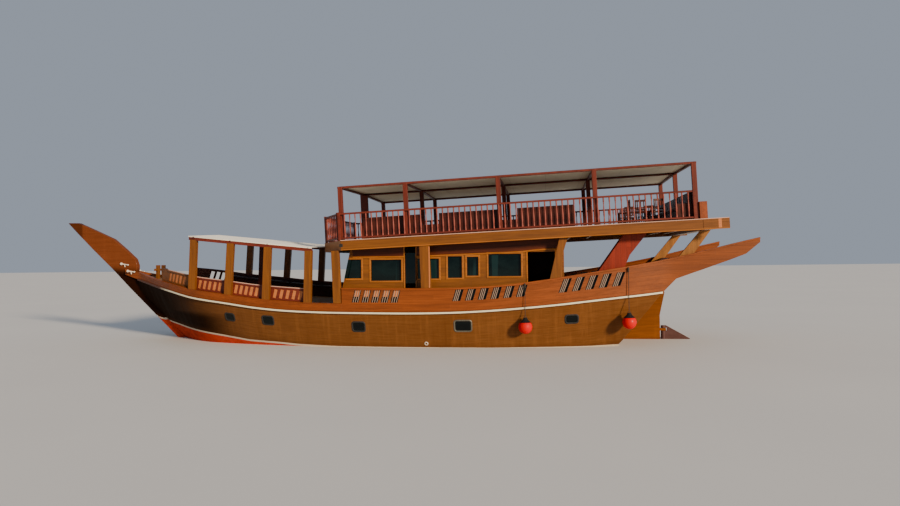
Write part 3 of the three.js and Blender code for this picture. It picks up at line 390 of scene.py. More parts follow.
def make_looks(colours, sizes):
    # the width and length of cabin boards and wide boards, and all that differs in bare decks
    cabin, wide = (0.14, 3.0), (0.2, 3.0)
    scrubbed = (sizes.deck_plank, 3.5, 0.6, 0.0, 0.25, 0.008)
    LOOKS.update({
        "hull": hull_finish("hull varnish over bottom paint", colours.varnish,
                            colours.varnish_dark, colours, sizes),
        "post": hull_finish("stern post varnish", (0.215, 0.062, 0.004), colours.varnish_dark,
                            colours, sizes, 0.2),
        # the stem's shadow starts at 8 m, so all of the stem below shadow_top over the boot stripe
        # is painted shade
        "stem": hull_finish("stem varnish", (0.155, 0.043, 0.013), (0.100, 0.024, 0.006),
                            colours, sizes, 0.2, (8.0, 8.1), 14.2),
        "bulwark": wood("bulwark boards", colours.bulwark, sizes.board, 5.0),
        "timber": wood("orange timber", colours.bulwark),
        "gold": wood("golden timber", colours.gold),
        "gold_boards": wood("golden cabin boards", shade(colours.gold, 1.2), *cabin),
        "gold_light": wood("pale golden moulding and painted sunlight", shade(colours.gold, 1.9)),
        # a paler copy of the golden timber, painted as sunlit
        "pillar": wood("pillar timber painted sunlit", (0.25, 0.098, 0.017)),
        # painted shadow of the upper deck on the top of the deckhouse wall
        "shade_boards": wood("boards under the deck in painted shadow", (0.075, 0.012, 0.0), *cabin),
        "peach": wood("pale slot boards", colours.slot_board, contrast=0.2),
        "mahogany": wood("mahogany", colours.mahogany, contrast=0.4),
        "mahogany_dark": wood("dark mahogany", shade(colours.mahogany, 0.55), contrast=0.4),
        "red_rail": wood("rail mahogany", shade(colours.mahogany, 1.15), contrast=0.35),
        "baluster": wood("turned mahogany", colours.baluster, contrast=0.3),
        "stair": wood("stair mahogany", (0.215, 0.018, 0.003), *wide),
        "aft_board": wood("aft board varnish", (0.245, 0.052, 0.012), *wide),
        "bench_wood": wood("dark bench wood", shade(colours.mahogany, 0.4), gloss=0.5),
        # partly a painted highlight on the tops of the fore rails and the fascia
        "cap": wood("pale rail cap with painted highlight", colours.rail_cap, contrast=0.15),
        "deck": wood("deck planks", colours.deck, *scrubbed),
        "deck_upper": wood("upper deck planks", shade(colours.deck, 1.15), *scrubbed),
        "soffit": paint("soffit paint", colours.soffit, 0.6, 0.25),
        "rail": rail_finish("cream rail paint", colours.rail, shade(colours.bulwark, 0.35)),
        "white": paint("white enamel", (0.62, 0.56, 0.46), 0.45, 0.4),
        "rudder": paint("old bottom paint", (0.055, 0.012, 0.008), 0.6, 0.5),
        "louvre": paint("pale louvre", (0.33, 0.23, 0.18), 0.55, 0.3),
        # painted shade inside the slots of the bulwarks
        "black": paint("black painted shade in the slots", (0.006, 0.006, 0.006), 0.7, 0.2),
        "awning": cloth("awning canvas", colours.awning),
        "canopy": cloth("canopy canvas", colours.canopy),
        "glass": glass("cabin glass", (0.0015, 0.0050, 0.0055), 0.8),
        "port_glass": glass("porthole glass", (0.0010, 0.0025, 0.0030), 0.0),
        "bronze": metal("cast bronze", (0.45, 0.27, 0.10), 0.32, 1.0),
        "steel": metal("dull steel", (0.16, 0.15, 0.12), 0.35, 0.6),
        "iron": metal("black iron", (0.010, 0.010, 0.011), 0.6, 0.0),
        "leather": leather("bench leather", colours.leather),
        "fender": rubber("fender skin", colours.fender),
        "cap_rubber": rubber("black fender collar", (0.012, 0.012, 0.013)),
        "rope": paint("dark rope", (0.030, 0.024, 0.018), 0.85, 0.4),
    })


# Meshes
def add_object(name, data):
    """A new object in the scene."""
    made = bpy.data.objects.new(name, data)
    bpy.context.scene.collection.objects.link(made)
    return made


def write_back(made, mesh):
    """Ends an edit of a mesh."""
    made.to_mesh(mesh)
    made.free()


def mesh_object(name, points, faces, smooth=False):
    """A new object from points and faces, whose normals point outwards."""
    mesh = bpy.data.meshes.new(name)
    mesh.from_pydata([tuple(p) for p in points], [], faces)
    made = bmesh.new()
    made.from_mesh(mesh)
    bmesh.ops.recalc_face_normals(made, faces=made.faces)
    write_back(made, mesh)
    if smooth:
        mesh.shade_smooth()
        mesh.set_sharp_from_angle(angle=math.radians(50))
    return add_object(name, mesh)


def axis_grain(*axes):
    """A rule for grain that runs along, up and across these axes."""
    return lambda co: co[:, axes]


long_grain, upright_grain = axis_grain(0, 2, 1), axis_grain(2, 0, 1)
athwart_grain, deck_grain = axis_grain(1, 0, 2), axis_grain(0, 1, 2)


def place(piece, look, nodes=(), body="root", grain=long_grain):
    """Gives a piece its grain, finish and body, and hides the nodes that it stands for."""
    mesh = piece.data
    co = np.zeros(len(mesh.vertices) * 3, np.float32)
    mesh.vertices.foreach_get("co", co)
    layer = mesh.attributes.new("grain", "FLOAT_VECTOR", "POINT")
    layer.data.foreach_set("vector",
                           np.ascontiguousarray(grain(co.reshape(-1, 3)), np.float32).ravel())
    mesh.materials.clear()
    mesh.materials.append(LOOKS[look])
    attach(piece, body)
    if nodes:
        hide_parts(*nodes)
    return piece


def cad_copy(node, name, clean=True):
    """A new mesh with a node's form, its flat faces whole again."""
    made = bmesh.new()
    made.from_mesh(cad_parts[node].data)
    bmesh.ops.remove_doubles(made, verts=made.verts, dist=2e-5)
    if clean:
        bmesh.ops.dissolve_limit(made, angle_limit=math.radians(0.4), verts=made.verts,
                                 edges=made.edges, use_dissolve_boundaries=False)
    mesh = bpy.data.meshes.new(name)
    write_back(made, mesh)
    return add_object(name, mesh)


def round_edges(piece, width):
    """Rounds the edges of a piece and keeps its faces flat."""
    bevel = piece.modifiers.new("rounded edges", "BEVEL")
    bevel.width, bevel.segments = width, 2
    bevel.limit_method, bevel.angle_limit = "ANGLE", math.radians(35)
    bevel.use_clamp_overlap = True
    piece.data.shade_smooth()
    piece.modifiers.new("weighted normals", "WEIGHTED_NORMAL").keep_sharp = True


def dress(node, look, grain=long_grain, body="root", edge=None):
    """Replaces a node with its own form, edges rounded and finished."""
    piece = cad_copy(node, f"{node}_timber")
    edge = bpy.context.scene.dhow_sizes.edge if edge is None else edge
    if edge:
        round_edges(piece, edge)
    return place(piece, look, [node], body, grain)


def fitted(name, parts, look, grain=long_grain, edge=0.0, smooth=False, body="root",
           nodes=()):
    """A placed piece from (points, faces) parts."""
    points, faces = [], []
    for part_points, part_faces in parts:
        first = len(points)
        points.extend(part_points)
        faces.extend([tuple(first + i for i in face) for face in part_faces])
    piece = mesh_object(name, points, faces, smooth)
    if edge:
        round_edges(piece, edge)
    return place(piece, look, nodes, body, grain)


def repaint(piece, look, rule):
    """Gives a second finish to the faces that a rule picks by middle and normal."""
    piece.data.materials.append(LOOKS[look])
    index = len(piece.data.materials) - 1
    for face in piece.data.polygons:
        if rule(face.center, face.normal):
            face.material_index = index


BOX_FACES = [(0, 2, 3, 1), (4, 5, 7, 6), (0, 1, 5, 4), (2, 6, 7, 3), (0, 4, 6, 2), (1, 3, 7, 5)]


def block(low, high, matrix=Matrix()):
    """Points and faces of a box between two corners."""
    return [matrix @ Vector((x, y, z)) for x in (low[0], high[0]) for y in (low[1], high[1])
            for z in (low[2], high[2])], BOX_FACES


def side_block(side, xs, ys, zs, matrix=Matrix()):
    """A box on one side of the boat. ys are taken outwards from the middle."""
    y0, y1 = sorted((side * ys[0], side * ys[1]))
    return block((xs[0], y0, zs[0]), (xs[1], y1, zs[1]), matrix)


def deck_post(at, half, low, high):
    """A square box about a place on the upper deck."""
    return block((at.x - half, at.y - half, low), (at.x + half, at.y + half, high), UPPER)


def ring_faces(rings, count, start_reversed=True):
    """Faces over rings of count points each, closed by one face at both ends."""
    faces = [(k * count + i, k * count + (i + 1) % count, (k + 1) * count + (i + 1) % count,
              (k + 1) * count + i) for k in range(rings - 1) for i in range(count)]
    first, last = tuple(range(count)), tuple(range((rings - 1) * count, rings * count))
    return [*faces, first[::-1], last] if start_reversed else [*faces, first, last[::-1]]


def circle(sides):
    """Angles of the points round a ring."""
    return [2 * math.pi * i / sides for i in range(sides)]


def turned(profile, sides, matrix):
    """Points and faces of a turned piece. profile is (height, radius) rows."""
    points = [matrix @ Vector((r * math.cos(a), r * math.sin(a), z))
              for z, r in profile for a in circle(sides)]
    return points, ring_faces(len(profile), sides)


def tube(points, radius, sides=8):
    """Points and faces of a round rod through points."""
    path = [Vector(p) for p in points]
    rings = []
    for i, here in enumerate(path):
        along = (path[min(i + 1, len(path) - 1)] - path[max(i - 1, 0)]).normalized()
        side = along.cross(Vector((0, 0, 1)) if abs(along.z) < 0.9 else Vector((1, 0, 0)))
        side.normalize()
        other = along.cross(side)
        rings.extend(here + radius * (math.cos(a) * side + math.sin(a) * other)
                     for a in circle(sides))
    return rings, ring_faces(len(path), sides)


def loft(xs, section, side):
    """Points and faces through sections along the boat. section gives (y, z) rows at an x."""
    rings = [[Vector((x, side * y, z)) for y, z in section(x)] for x in xs]
    return [p for ring in rings for p in ring], ring_faces(len(rings), len(rings[0]), False)


def steps(first, last, longest=0.5):
    """Places from first to last, no further apart than longest."""
    return np.linspace(first, last, max(2, int(abs(last - first) / longest) + 2))


# Lines of the boat, read from the frame
def node_points(node):
    """The points of a node's mesh."""
    return np.array([v.co[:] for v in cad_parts[node].data.vertices])


def profile_of(node, pick):
    """x and a picked value at each section of a node that follows the sheer."""
    co = node_points(node)
    xs = np.unique(np.round(co[:, 0], 3))
    rows = [(x, pick(co[np.abs(co[:, 0] - x) < 2e-3])) for x in xs]
    return np.array([r[0] for r in rows]), np.array([r[1] for r in rows])


RAIL_X, RAIL_Z = profile_of("rub_rail_port", lambda p: (p[:, 2].min() + p[:, 2].max()) / 2)
_, RAIL_Y = profile_of("rub_rail_port", lambda p: p[:, 1].min())
FORE_X, FORE_TOP = profile_of("fore_bulwark_port", lambda p: p[:, 2].max())
SEAT_X, SEAT_Y = profile_of("fore_bench_port", lambda p: p[:, 1].min())
_, SEAT_Z = profile_of("fore_bench_port", lambda p: p[:, 2].min())
UPPER = Matrix.Translation(UPPER_FRONT) @ Matrix.Rotation(UPPER_SLOPE, 4, "Y")


def rail_z(x): return np.interp(x, RAIL_X, RAIL_Z)
def breadth(x): return np.interp(x, RAIL_X, RAIL_Y)
def fore_top(x): return np.interp(x, FORE_X, FORE_TOP)
def moulding_z(x): return np.interp(-x, *MOULDING_LINE)


def head_z(x):
    """Height of the fore awning's side beams."""
    return HEAD_AFT[1] + (x - HEAD_AFT[0]) * HEAD_RISE / HEAD_RUN


def house_front(z):
    """x of the deckhouse's leaning front at a height."""
    return HOUSE_FOOT[0] - (z - HOUSE_FOOT[1]) * HOUSE_LEAN


def soffit_z(x):
    """Height of the upper deck's underside."""
    return SOFFIT_FRONT[1] + (SOFFIT_FRONT[0] - x) * math.tan(UPPER_SLOPE)


def sheer_grain(co):
    """Planks that follow the sheer."""
    return np.stack([co[:, 0], co[:, 2] - rail_z(co[:, 0]), co[:, 1]], 1)


def upper_grain(co):
    """Boards that follow the slope of the upper deck."""
    rise = co[:, 2] + (co[:, 0] - UPPER_FRONT.x) * math.tan(UPPER_SLOPE) - UPPER_FRONT.z
    return np.stack([co[:, 0], rise, co[:, 1]], 1)


# Height of the boot stripe along the boat
BOOT_X = np.array([-12.0, -9.9, -8.9, -5.0, 1.0, 2.7, 3.5, 4.9, 6.1, 7.7, 9.6, 10.3, 12.0])
BOOT_Z = np.array([0.06, 0.0, -0.03, -0.06, -0.04, 0.02, 0.08, 0.14, 0.30, 0.47, 0.68, 0.80, 1.2])

SLOT_GROUPS = (
    # first x, spacing, count, width, height, middle above the rail, lean aft over the height
    (0.05, 0.385, 5, 0.27, 0.47, 0.64, 0.12),
    (-3.91, 0.480, 6, 0.30, 0.43, 0.65, 0.135),
    (-7.92, 0.492, 5, 0.30, 0.50, 0.69, 0.20),
)
BARS_BOARDED, BARS_OPEN = (-0.33, 0.0, 0.33), (-0.10, 0.12, 0.34)  # in widths of the slot
CLEATS = (
    # x, y, z, length, turn
    (12.10, 0.175, 3.36, 0.40, 0.0), (11.62, 0.42, 3.03, 0.36, 0.28),
)
# Fore and aft ends of the open bays between the rail's posts, and of the pads on the benches
FORE_BAYS = ((9.005, 7.765), (7.25, 5.87), (5.48, 4.18), (3.755, 2.245))
FORE_SEATS = (2.53, 3.88, 5.24, 6.60, 7.96)
FORE_RAIL_PARTS = {
    # look, slot, rounding, then for each bar: outer and inner from the breadth, low, high
    "slot_boards": ("peach", "gold_wood", 0.0, ((0.245, 0.262, 0.04, 0.47),)),
    "rail_caps": ("cap", "rail_paint", 0.006, ((0.222, 0.285, 0.515, 0.547),)),
    "rail_mouldings": ("red_rail", "red_wood", 0.006, ((0.20, 0.232, 0.465, 0.508),
                                                       (0.19, 0.232, 0.002, 0.05))),
}
# painted light: the port side's first bay is golden where the sun falls on it; the starboard one
# is darker
FIRST_BAY = {"port": "gold", "starboard": "mahogany_dark"}
FIRST_BAY_FROM = 7.7
STARBOARD_BOARDS_FROM = 5.5  # the bays forward of this x have no boards on that side
AWNING_X = (7.54, 7.25, 5.44, 3.77, 2.03, 1.88)  # fore edge, rafters and aft edge
HEM, HEM_TURN = 0.04, 0.002  # depth of the awning's hem, and its part of half the width
WINDOWS = (
    # fore edge, aft edge, sill, head
    (0.62, 0.0, 2.68, 3.45), (-0.37, -1.615, 2.58, 3.43), (-2.23, -3.11, 2.65, 3.45),
    (-3.43, -4.01, 2.67, 3.53), (-4.18, -4.65, 2.75, 3.50), (-5.01, -6.29, 2.72, 3.60),
)
# Fore edge, aft edge, foot and head. The aft one is on the port side only
DOORWAYS = ((-1.75, -2.17, 2.3, 3.98), (-6.53, -7.56, 2.1, 3.65))
HOUSE_Y = 3.1
FRAME_WIDTH, FRAME_DEEP = 0.055, (HOUSE_Y - 0.05, HOUSE_Y + 0.022)
# The moulding over the windows: its line as x and z, and its section as outwards and up
MOULDING = ((0.5, 3.52), (-2.2, 3.52), (-5.15, 3.61), (-6.3, 3.65), (-6.81, 3.71), (-7.6, 3.75))
MOULDING_LINE = tuple(zip(*((-x, z) for x, z in MOULDING)))
MOULDING_FORM = ((-0.01, -0.03), (0.035, -0.02), (0.045, 0.01), (0.03, 0.035), (-0.01, 0.035))
# Turned forms are height and radius
KNOB_FORM = ((0, 0.028), (0.006, 0.028), (0.010, 0.012), (0.030, 0.011), (0.036, 0.024),
             (0.052, 0.030), (0.066, 0.022), (0.070, 0.006))
FRONT_LIGHTS = ((-2.8, -1.48), (-1.4, -0.06), (0.06, 1.4), (1.48, 2.8))
PORTHOLES = (
    # x, z, width, height, frame
    (5.60, 1.16, 0.40, 0.30, "black"), (3.84, 1.05, 0.46, 0.34, "black"),
    (0.02, 0.83, 0.47, 0.35, "black"), (-4.07, 0.87, 0.62, 0.40, "steel"),
    (-8.15, 1.11, 0.44, 0.29, "black"),
)
FASCIA_Y = 3.75
FASCIA = (
    # name, look, aft and fore ends, low and high, how proud, rounding
    ("cap", "cap", (-14.40, 0.0), (-0.012, 0.014), 0.024, 0.006),
    ("moulding", "gold_light", (-14.40, 0.0), (-0.385, -0.345), 0.018, 0.006),
    ("end", "gold_boards", (-14.41, -13.50), (-0.342, -0.014), 0.010, 0.002),
    # a pale strip painted as the sun's glint on the rounded aft end of the fascia
    ("end_glint", "peach", (-14.13, -14.02), (-0.342, -0.014), 0.013, 0.002),
)
OUTLET = (-2.62, 0.17)
LIP_FORM = ((-0.03, 0.075), (0.012, 0.075), (0.022, 0.066), (0.022, 0.048), (-0.02, 0.040))
UPPER_RAIL_Y, UPPER_RAIL_AFT = 3.69, -13.25
TOP_RAIL, FOOT_RAIL = (0.075, 1.0, 1.07), (0.062, 0.055, 0.12)  # width, low, high
# Half the width, low and high of a newel, its cap, and the feet under the lower rail
NEWEL, NEWEL_CAP, FOOT = (0.05, 0.0003, 1.085), (0.058, 1.068, 1.095), (0.02, 0.0003, 0.07)
FRONT_RAIL = ((0.11, 3.59), (1.08, 2.14), (1.08, -2.14), (0.11, -3.59))
BALUSTER_FORM = (
    (0.11, 0.027), (0.20, 0.027), (0.215, 0.017), (0.24, 0.024), (0.27, 0.017), (0.36, 0.029),
    (0.48, 0.031), (0.62, 0.022), (0.76, 0.015), (0.80, 0.023), (0.83, 0.017), (0.845, 0.027),
    (1.01, 0.027),
)
CANOPY_X = (0.07, -0.03, -2.62, -6.20, -9.76, -13.315, -13.415)  # edges and rafters
CANOPY_HALF, CANOPY_SPINE = 3.58, 0.041
COLLAR_FORM = ((0.165, 0.200), (0.172, 0.208), (0.205, 0.175), (0.240, 0.130), (0.275, 0.098),
               (0.320, 0.076), (0.345, 0.064), (0.350, 0.030))
KNOT_FORM = ((-0.19, 0.012), (-0.17, 0.03), (-0.10, 0.026), (-0.07, 0.042), (-0.02, 0.034),
             (0.0, 0.012))
AFT_BENCH = (
    # two corners of each board: back, seat, apron and ends
    ((-13.25, -3.50, 0.001), (-13.21, 3.50, 1.06)),
    ((-13.21, -3.46, 0.40), (-12.66, 3.46, 0.44)),
    ((-12.74, -3.46, 0.001), (-12.70, 3.46, 0.399)),
    ((-13.209, -3.50, 0.001), (-12.66, -3.462, 0.62)),
    ((-13.209, 3.462, 0.001), (-12.66, 3.50, 0.62)),
)
CHAIRS = (
    # x, y, degrees
    (-11.5, -0.95, 0), (-12.3, -0.95, 0), (-11.5, -2.45, 180), (-12.3, -2.45, 180),
    (-10.85, 2.9, 90), (-11.5, 2.45, 0), (-12.1, 2.5, 20),
)
CHAIR_BOARDS = (
    # two corners of the seat and of the back's rails
    ((-0.22, -0.22, 0.42), (0.22, 0.22, 0.46)), ((-0.2, 0.19, 0.84), (0.2, 0.215, 0.92)),
    ((-0.2, 0.19, 0.52), (0.2, 0.215, 0.57)),
)
PAD_CUTS, PAD_FILL = (24, 10, 4), 0.7
# Metres: the crown, how deep a seam lies, how far the sides swell and the ends are pulled in
PAD_CROWN, PAD_CHANNEL, PAD_SWELL, PAD_WAIST = 0.022, 0.016, 0.0048, (0.010, 0.008)
PAD_RIM = 0.72  # thickness at the rim, as a part of the whole
BENCH_BACKS = ((-0.85, -3.15), (-3.85, -6.10), (-6.85, -9.00))


def strip(xs, line, corners, side):
    """A bar along the side. Each corner is in from the breadth and up from a line."""
    return loft(xs, lambda x: [(breadth(x) - y, line(x) + z) for y, z in corners], side)


def square(outer, inner, low, high):
    """Corners of a square section, for a strip."""
    return (outer, low), (outer, high), (inner, high), (inner, low)


def window_frame(side, fore, aft, low, high):
    """The four bars round an opening in a side wall of the deckhouse."""
    width, lap = FRAME_WIDTH, 0.012
    return [side_block(side, xs, FRAME_DEEP, zs) for xs, zs in (
        ((aft - width, fore + width), (low - width, low + lap)),
        ((aft - width, fore + width), (high - lap, high + width)),
        ((aft - width, aft + lap), (low, high)),
        ((fore - lap, fore + width), (low, high)))]


def sheet_mesh(name, xs, ys, height, across):
    """One surface over a grid. height gives z at (x, y), across how y runs at an x."""
    points = [(x, y, height(x, y)) for x in xs for y in (across(x) * t for t in ys)]
    rows = len(ys)
    faces = [(k * rows + i, k * rows + i + 1, (k + 1) * rows + i + 1, (k + 1) * rows + i)
             for k in range(len(xs) - 1) for i in range(rows - 1)]
    return mesh_object(name, points, faces, smooth=True)


def between(value, marks):
    """0 at each mark, rising to 1 halfway to the next."""
    marks = np.sort(np.asarray(marks))
    k = int(np.clip(np.searchsorted(marks, value) - 1, 0, len(marks) - 2))
    t = (value - marks[k]) / (marks[k + 1] - marks[k])
    return float(max(0.0, 4 * t * (1 - t)))


def awning_half(x):
    """Half the width of the fore awning."""
    return breadth(x) - 0.044


def awning_z(x, y, sag):
    """Height of the fore awning, with a ridge, a sag between the rafters and a hem."""
    half, lift, ridge, eaves = awning_half(x), 0.160, 0.13, 0.046
    inner = min(abs(y), half)
    top = head_z(x) + lift + ridge * (1 - inner / (half - eaves))
    hang = sag * between(x, AWNING_X) * between(inner, (0.0, half))
    return top - hang - HEM * (abs(y) / half - inner / half) / HEM_TURN


def canopy_z(x, y, sag):
    """Height of the canopy over the upper deck. It sags between the rafters and the spine."""
    low, crown, eaves = 2.1165, 0.05, 3.485
    rise = low + crown * float(np.clip((eaves - abs(y)) / (eaves - CANOPY_SPINE), 0, 1))
    bay = between(x, CANOPY_X[1:-1]) if CANOPY_X[-2] < x < CANOPY_X[1] else 0.0
    return rise - sag * bay * between(abs(y), (CANOPY_SPINE, 3.48)) ** 0.75


# Operators
class DHOW_OT_stage(bpy.types.Operator):
    """Camera, a low sun, a pale sky and a pale floor at the waterline"""
    bl_idname = "dhow.stage"
    bl_label = "Stage"

    def execute(self, context):
        data = bpy.data.cameras.new("camera")
        data.lens, data.sensor_width, data.clip_end = 27.04, 36.0, 500
        camera = context.scene.camera = add_object("camera", data)
        at, forward = (-7.20, 29.08, 3.356), Vector((0.1395, -0.990, 0)).normalized()
        pitch, roll = math.radians(0.64), -0.012
        camera.matrix_world = (Matrix.Translation(at)
                               @ forward.to_track_quat("-Z", "Y").to_matrix().to_4x4()
                               @ Matrix.Rotation(pitch, 4, "X") @ Matrix.Rotation(roll, 4, "Z"))
        reach = 260
        floor = mesh_object("floor", [(-reach, -reach, 0), (reach, -reach, 0), (reach, reach, 0),
                                      (-reach, reach, 0)], [(0, 1, 2, 3)])
        look = Look("pale floor")
        cloud = look.noise(look.node("ShaderNodeTexCoord", output="Object"), (0.15, 0.15, 0.15))
        look.set(base_color=look.mix(cloud, (0.62, 0.62, 0.62), (0.68, 0.68, 0.67)),
                 roughness=0.65)
        floor.data.materials.append(look.material)
        self.lights(context)
        return {"FINISHED"}

    @staticmethod
    def lights(context):
        world = context.scene.world or bpy.data.worlds.new("world")
        context.scene.world = world
        world.use_nodes = True
        background = next(n for n in world.node_tree.nodes if n.type == "BACKGROUND")
        background.inputs["Color"].default_value = (0.74, 0.84, 1.0, 1)
        background.inputs["Strength"].default_value = 0.40
        sun = bpy.data.lights.new("key", "SUN")
        sun.energy, sun.angle, sun.color = 6.2, math.radians(7), (1.0, 0.80, 0.56)
        key = add_object("key", sun)
        key.rotation_mode = "QUATERNION"
        key.rotation_quaternion = Vector((1.05, -1.0, -0.44)).to_track_quat("-Z", "Y")


def store_boot(piece, line=None):
    """Stores the height of each point above the boot stripe, or above a level line."""
    boot = piece.data.attributes.new("boot", "FLOAT", "POINT")
    for i, vertex in enumerate(piece.data.vertices):
        stripe = np.interp(vertex.co.x, BOOT_X, BOOT_Z) if line is None else line
        boot.data[i].value = vertex.co.z - stripe


def rounded_outline(width, height, corner):
    """Points of a rectangle with round corners, about its middle."""
    points, arc_steps = [], 5
    for k, (sx, sz) in enumerate(((1, 1), (-1, 1), (-1, -1), (1, -1))):
        for i in range(arc_steps + 1):
            a = math.pi / 2 * (k + i / arc_steps)
            points.append((sx * (width / 2 - corner) + corner * math.cos(a),
                           sz * (height / 2 - corner) + corner * math.sin(a)))
    return points


def framed_hole(matrix, width, height, corner, bar, proud):
    """A moulded frame, whose outer rim dips under the skin, and the pane inside it."""
    # outwards from the hole's edge, and out of the skin
    rows = ((bar * 0.9, -0.04), (bar, proud * 0.4), (bar * 0.7, proud), (0.0, proud),
            (-0.012, proud * 0.5), (-0.016, -0.03))
    points = []
    for out, lift in rows:
        outline = rounded_outline(width + 2 * out, height + 2 * out, corner + max(out, 0))
        points.extend(matrix @ Vector((x, z, lift)) for x, z in outline)
    count = len(points) // len(rows)
    pane = [matrix @ Vector((x, z, lift)) for lift in (0.004, -0.02)
            for x, z in rounded_outline(width - 0.02, height - 0.02, corner)]
    open_ring = ring_faces(len(rows), count)[:-2]
    return (points, open_ring), (pane, ring_faces(2, count, False))


class DHOW_OT_hull(bpy.types.Operator):
    """Planked hull, portholes, keel, stem, rudder and propeller"""
    bl_idname = "dhow.hull"
    bl_label = "Hull"

    def execute(self, context):
        hull = cad_copy("hull", "hull_planking", clean=False)
        made = bmesh.new()
        made.from_mesh(hull.data)
        bmesh.ops.join_triangles(
            made, faces=made.faces, angle_face_threshold=math.radians(60),
            angle_shape_threshold=math.radians(180))
        # the hard edges stay hard in the subdivision below
        crease = made.edges.layers.float.new("crease_edge")
        for edge in made.edges:
            if len(edge.link_faces) == 2 and edge.calc_face_angle() > math.radians(40):
                edge[crease] = 1.0
        write_back(made, hull.data)
        smooth = hull.modifiers.new("fair lines", "SUBSURF")
        smooth.levels = smooth.render_levels = 2
        bpy.context.view_layer.objects.active = hull
        hull.select_set(True)
        bpy.ops.object.modifier_apply(modifier=smooth.name)
        hull.data.shade_smooth()
        hull.data.set_sharp_from_angle(angle=math.radians(35))
        store_boot(hull)
        place(hull, "hull", ["hull"], grain=sheer_grain)
        self.portholes(hull)
        keel_line = -0.12
        store_boot(dress("keel", "post", sheer_grain), keel_line)
        store_boot(dress("stem", "stem", edge=0.03))
        dress("rudder", "rudder", body="rudder", edge=0.02)
        dress("propeller", "bronze", body="propeller", edge=0.004)
        return {"FINISHED"}

    @staticmethod
    def portholes(hull):
        skin = BVHTree.FromPolygons([v.co for v in hull.data.vertices],
                                    [list(f.vertices) for f in hull.data.polygons])
        corner, bar, proud = 0.07, 0.045, 0.02
        for side, s in SIDES:
            frames = {"black": [], "steel": []}
            panes = []
            for x, z, width, height, metal_name in PORTHOLES:
                spot, normal, _, _ = skin.ray_cast(Vector((x, s * OUTSIDE, z)), Vector((0, -s, 0)))
                level = Vector((s, 0, 0))
                level = (level - level.dot(normal) * normal).normalized()
                turn = Matrix((level, normal.cross(level), normal)).transposed().to_4x4()
                frame_part, pane = framed_hole(Matrix.Translation(spot) @ turn, width, height,
                                               corner, bar, proud)
                frames[metal_name].append(frame_part)
                panes.append(pane)
            fitted(f"porthole_frames_{side}", frames["black"], "iron",
                   smooth=True)
            fitted(f"porthole_frame_steel_{side}", frames["steel"], "steel",
                   smooth=True)
            fitted(f"porthole_panes_{side}", panes, "port_glass")
        x, z = OUTLET
        spot, normal, _, _ = skin.ray_cast(Vector((x, OUTSIDE, z)), Vector((0, -1, 0)))
        turn = Matrix.Translation(spot) @ normal.to_track_quat("Z", "Y").to_matrix().to_4x4()
        fitted("outlet_port", [turned(LIP_FORM, 20, turn)], "white", smooth=True)


def slot_bar(side, group, centre, across, inward, up=1.0):
    """A leaning bar in a slot of the bulwark, which follows the sheer.

    across is in widths of the slot from its middle, up in half heights, and inward in metres
    from the breadth.
    """
    _, _, _, width, height, middle, lean = group
    corners = []
    for y in inward:
        for k in (-up, up):
            for t in across:
                x = centre + t * width - k * lean / 2
                corners.append(Vector((x, side * (breadth(x) - y),
                                       rail_z(x) + middle + k * height / 2)))
    return corners, BOX_FACES


def half_board(side, group, centre):
    """A board behind the lower half of a slot."""
    corners, _ = slot_bar(side, group, centre, (-0.30, 0.50), (0.040, 0.050))
    return [corner if k % 4 > 1 else corner.lerp(corners[k + 2], 0.48)
            for k, corner in enumerate(corners)], BOX_FACES


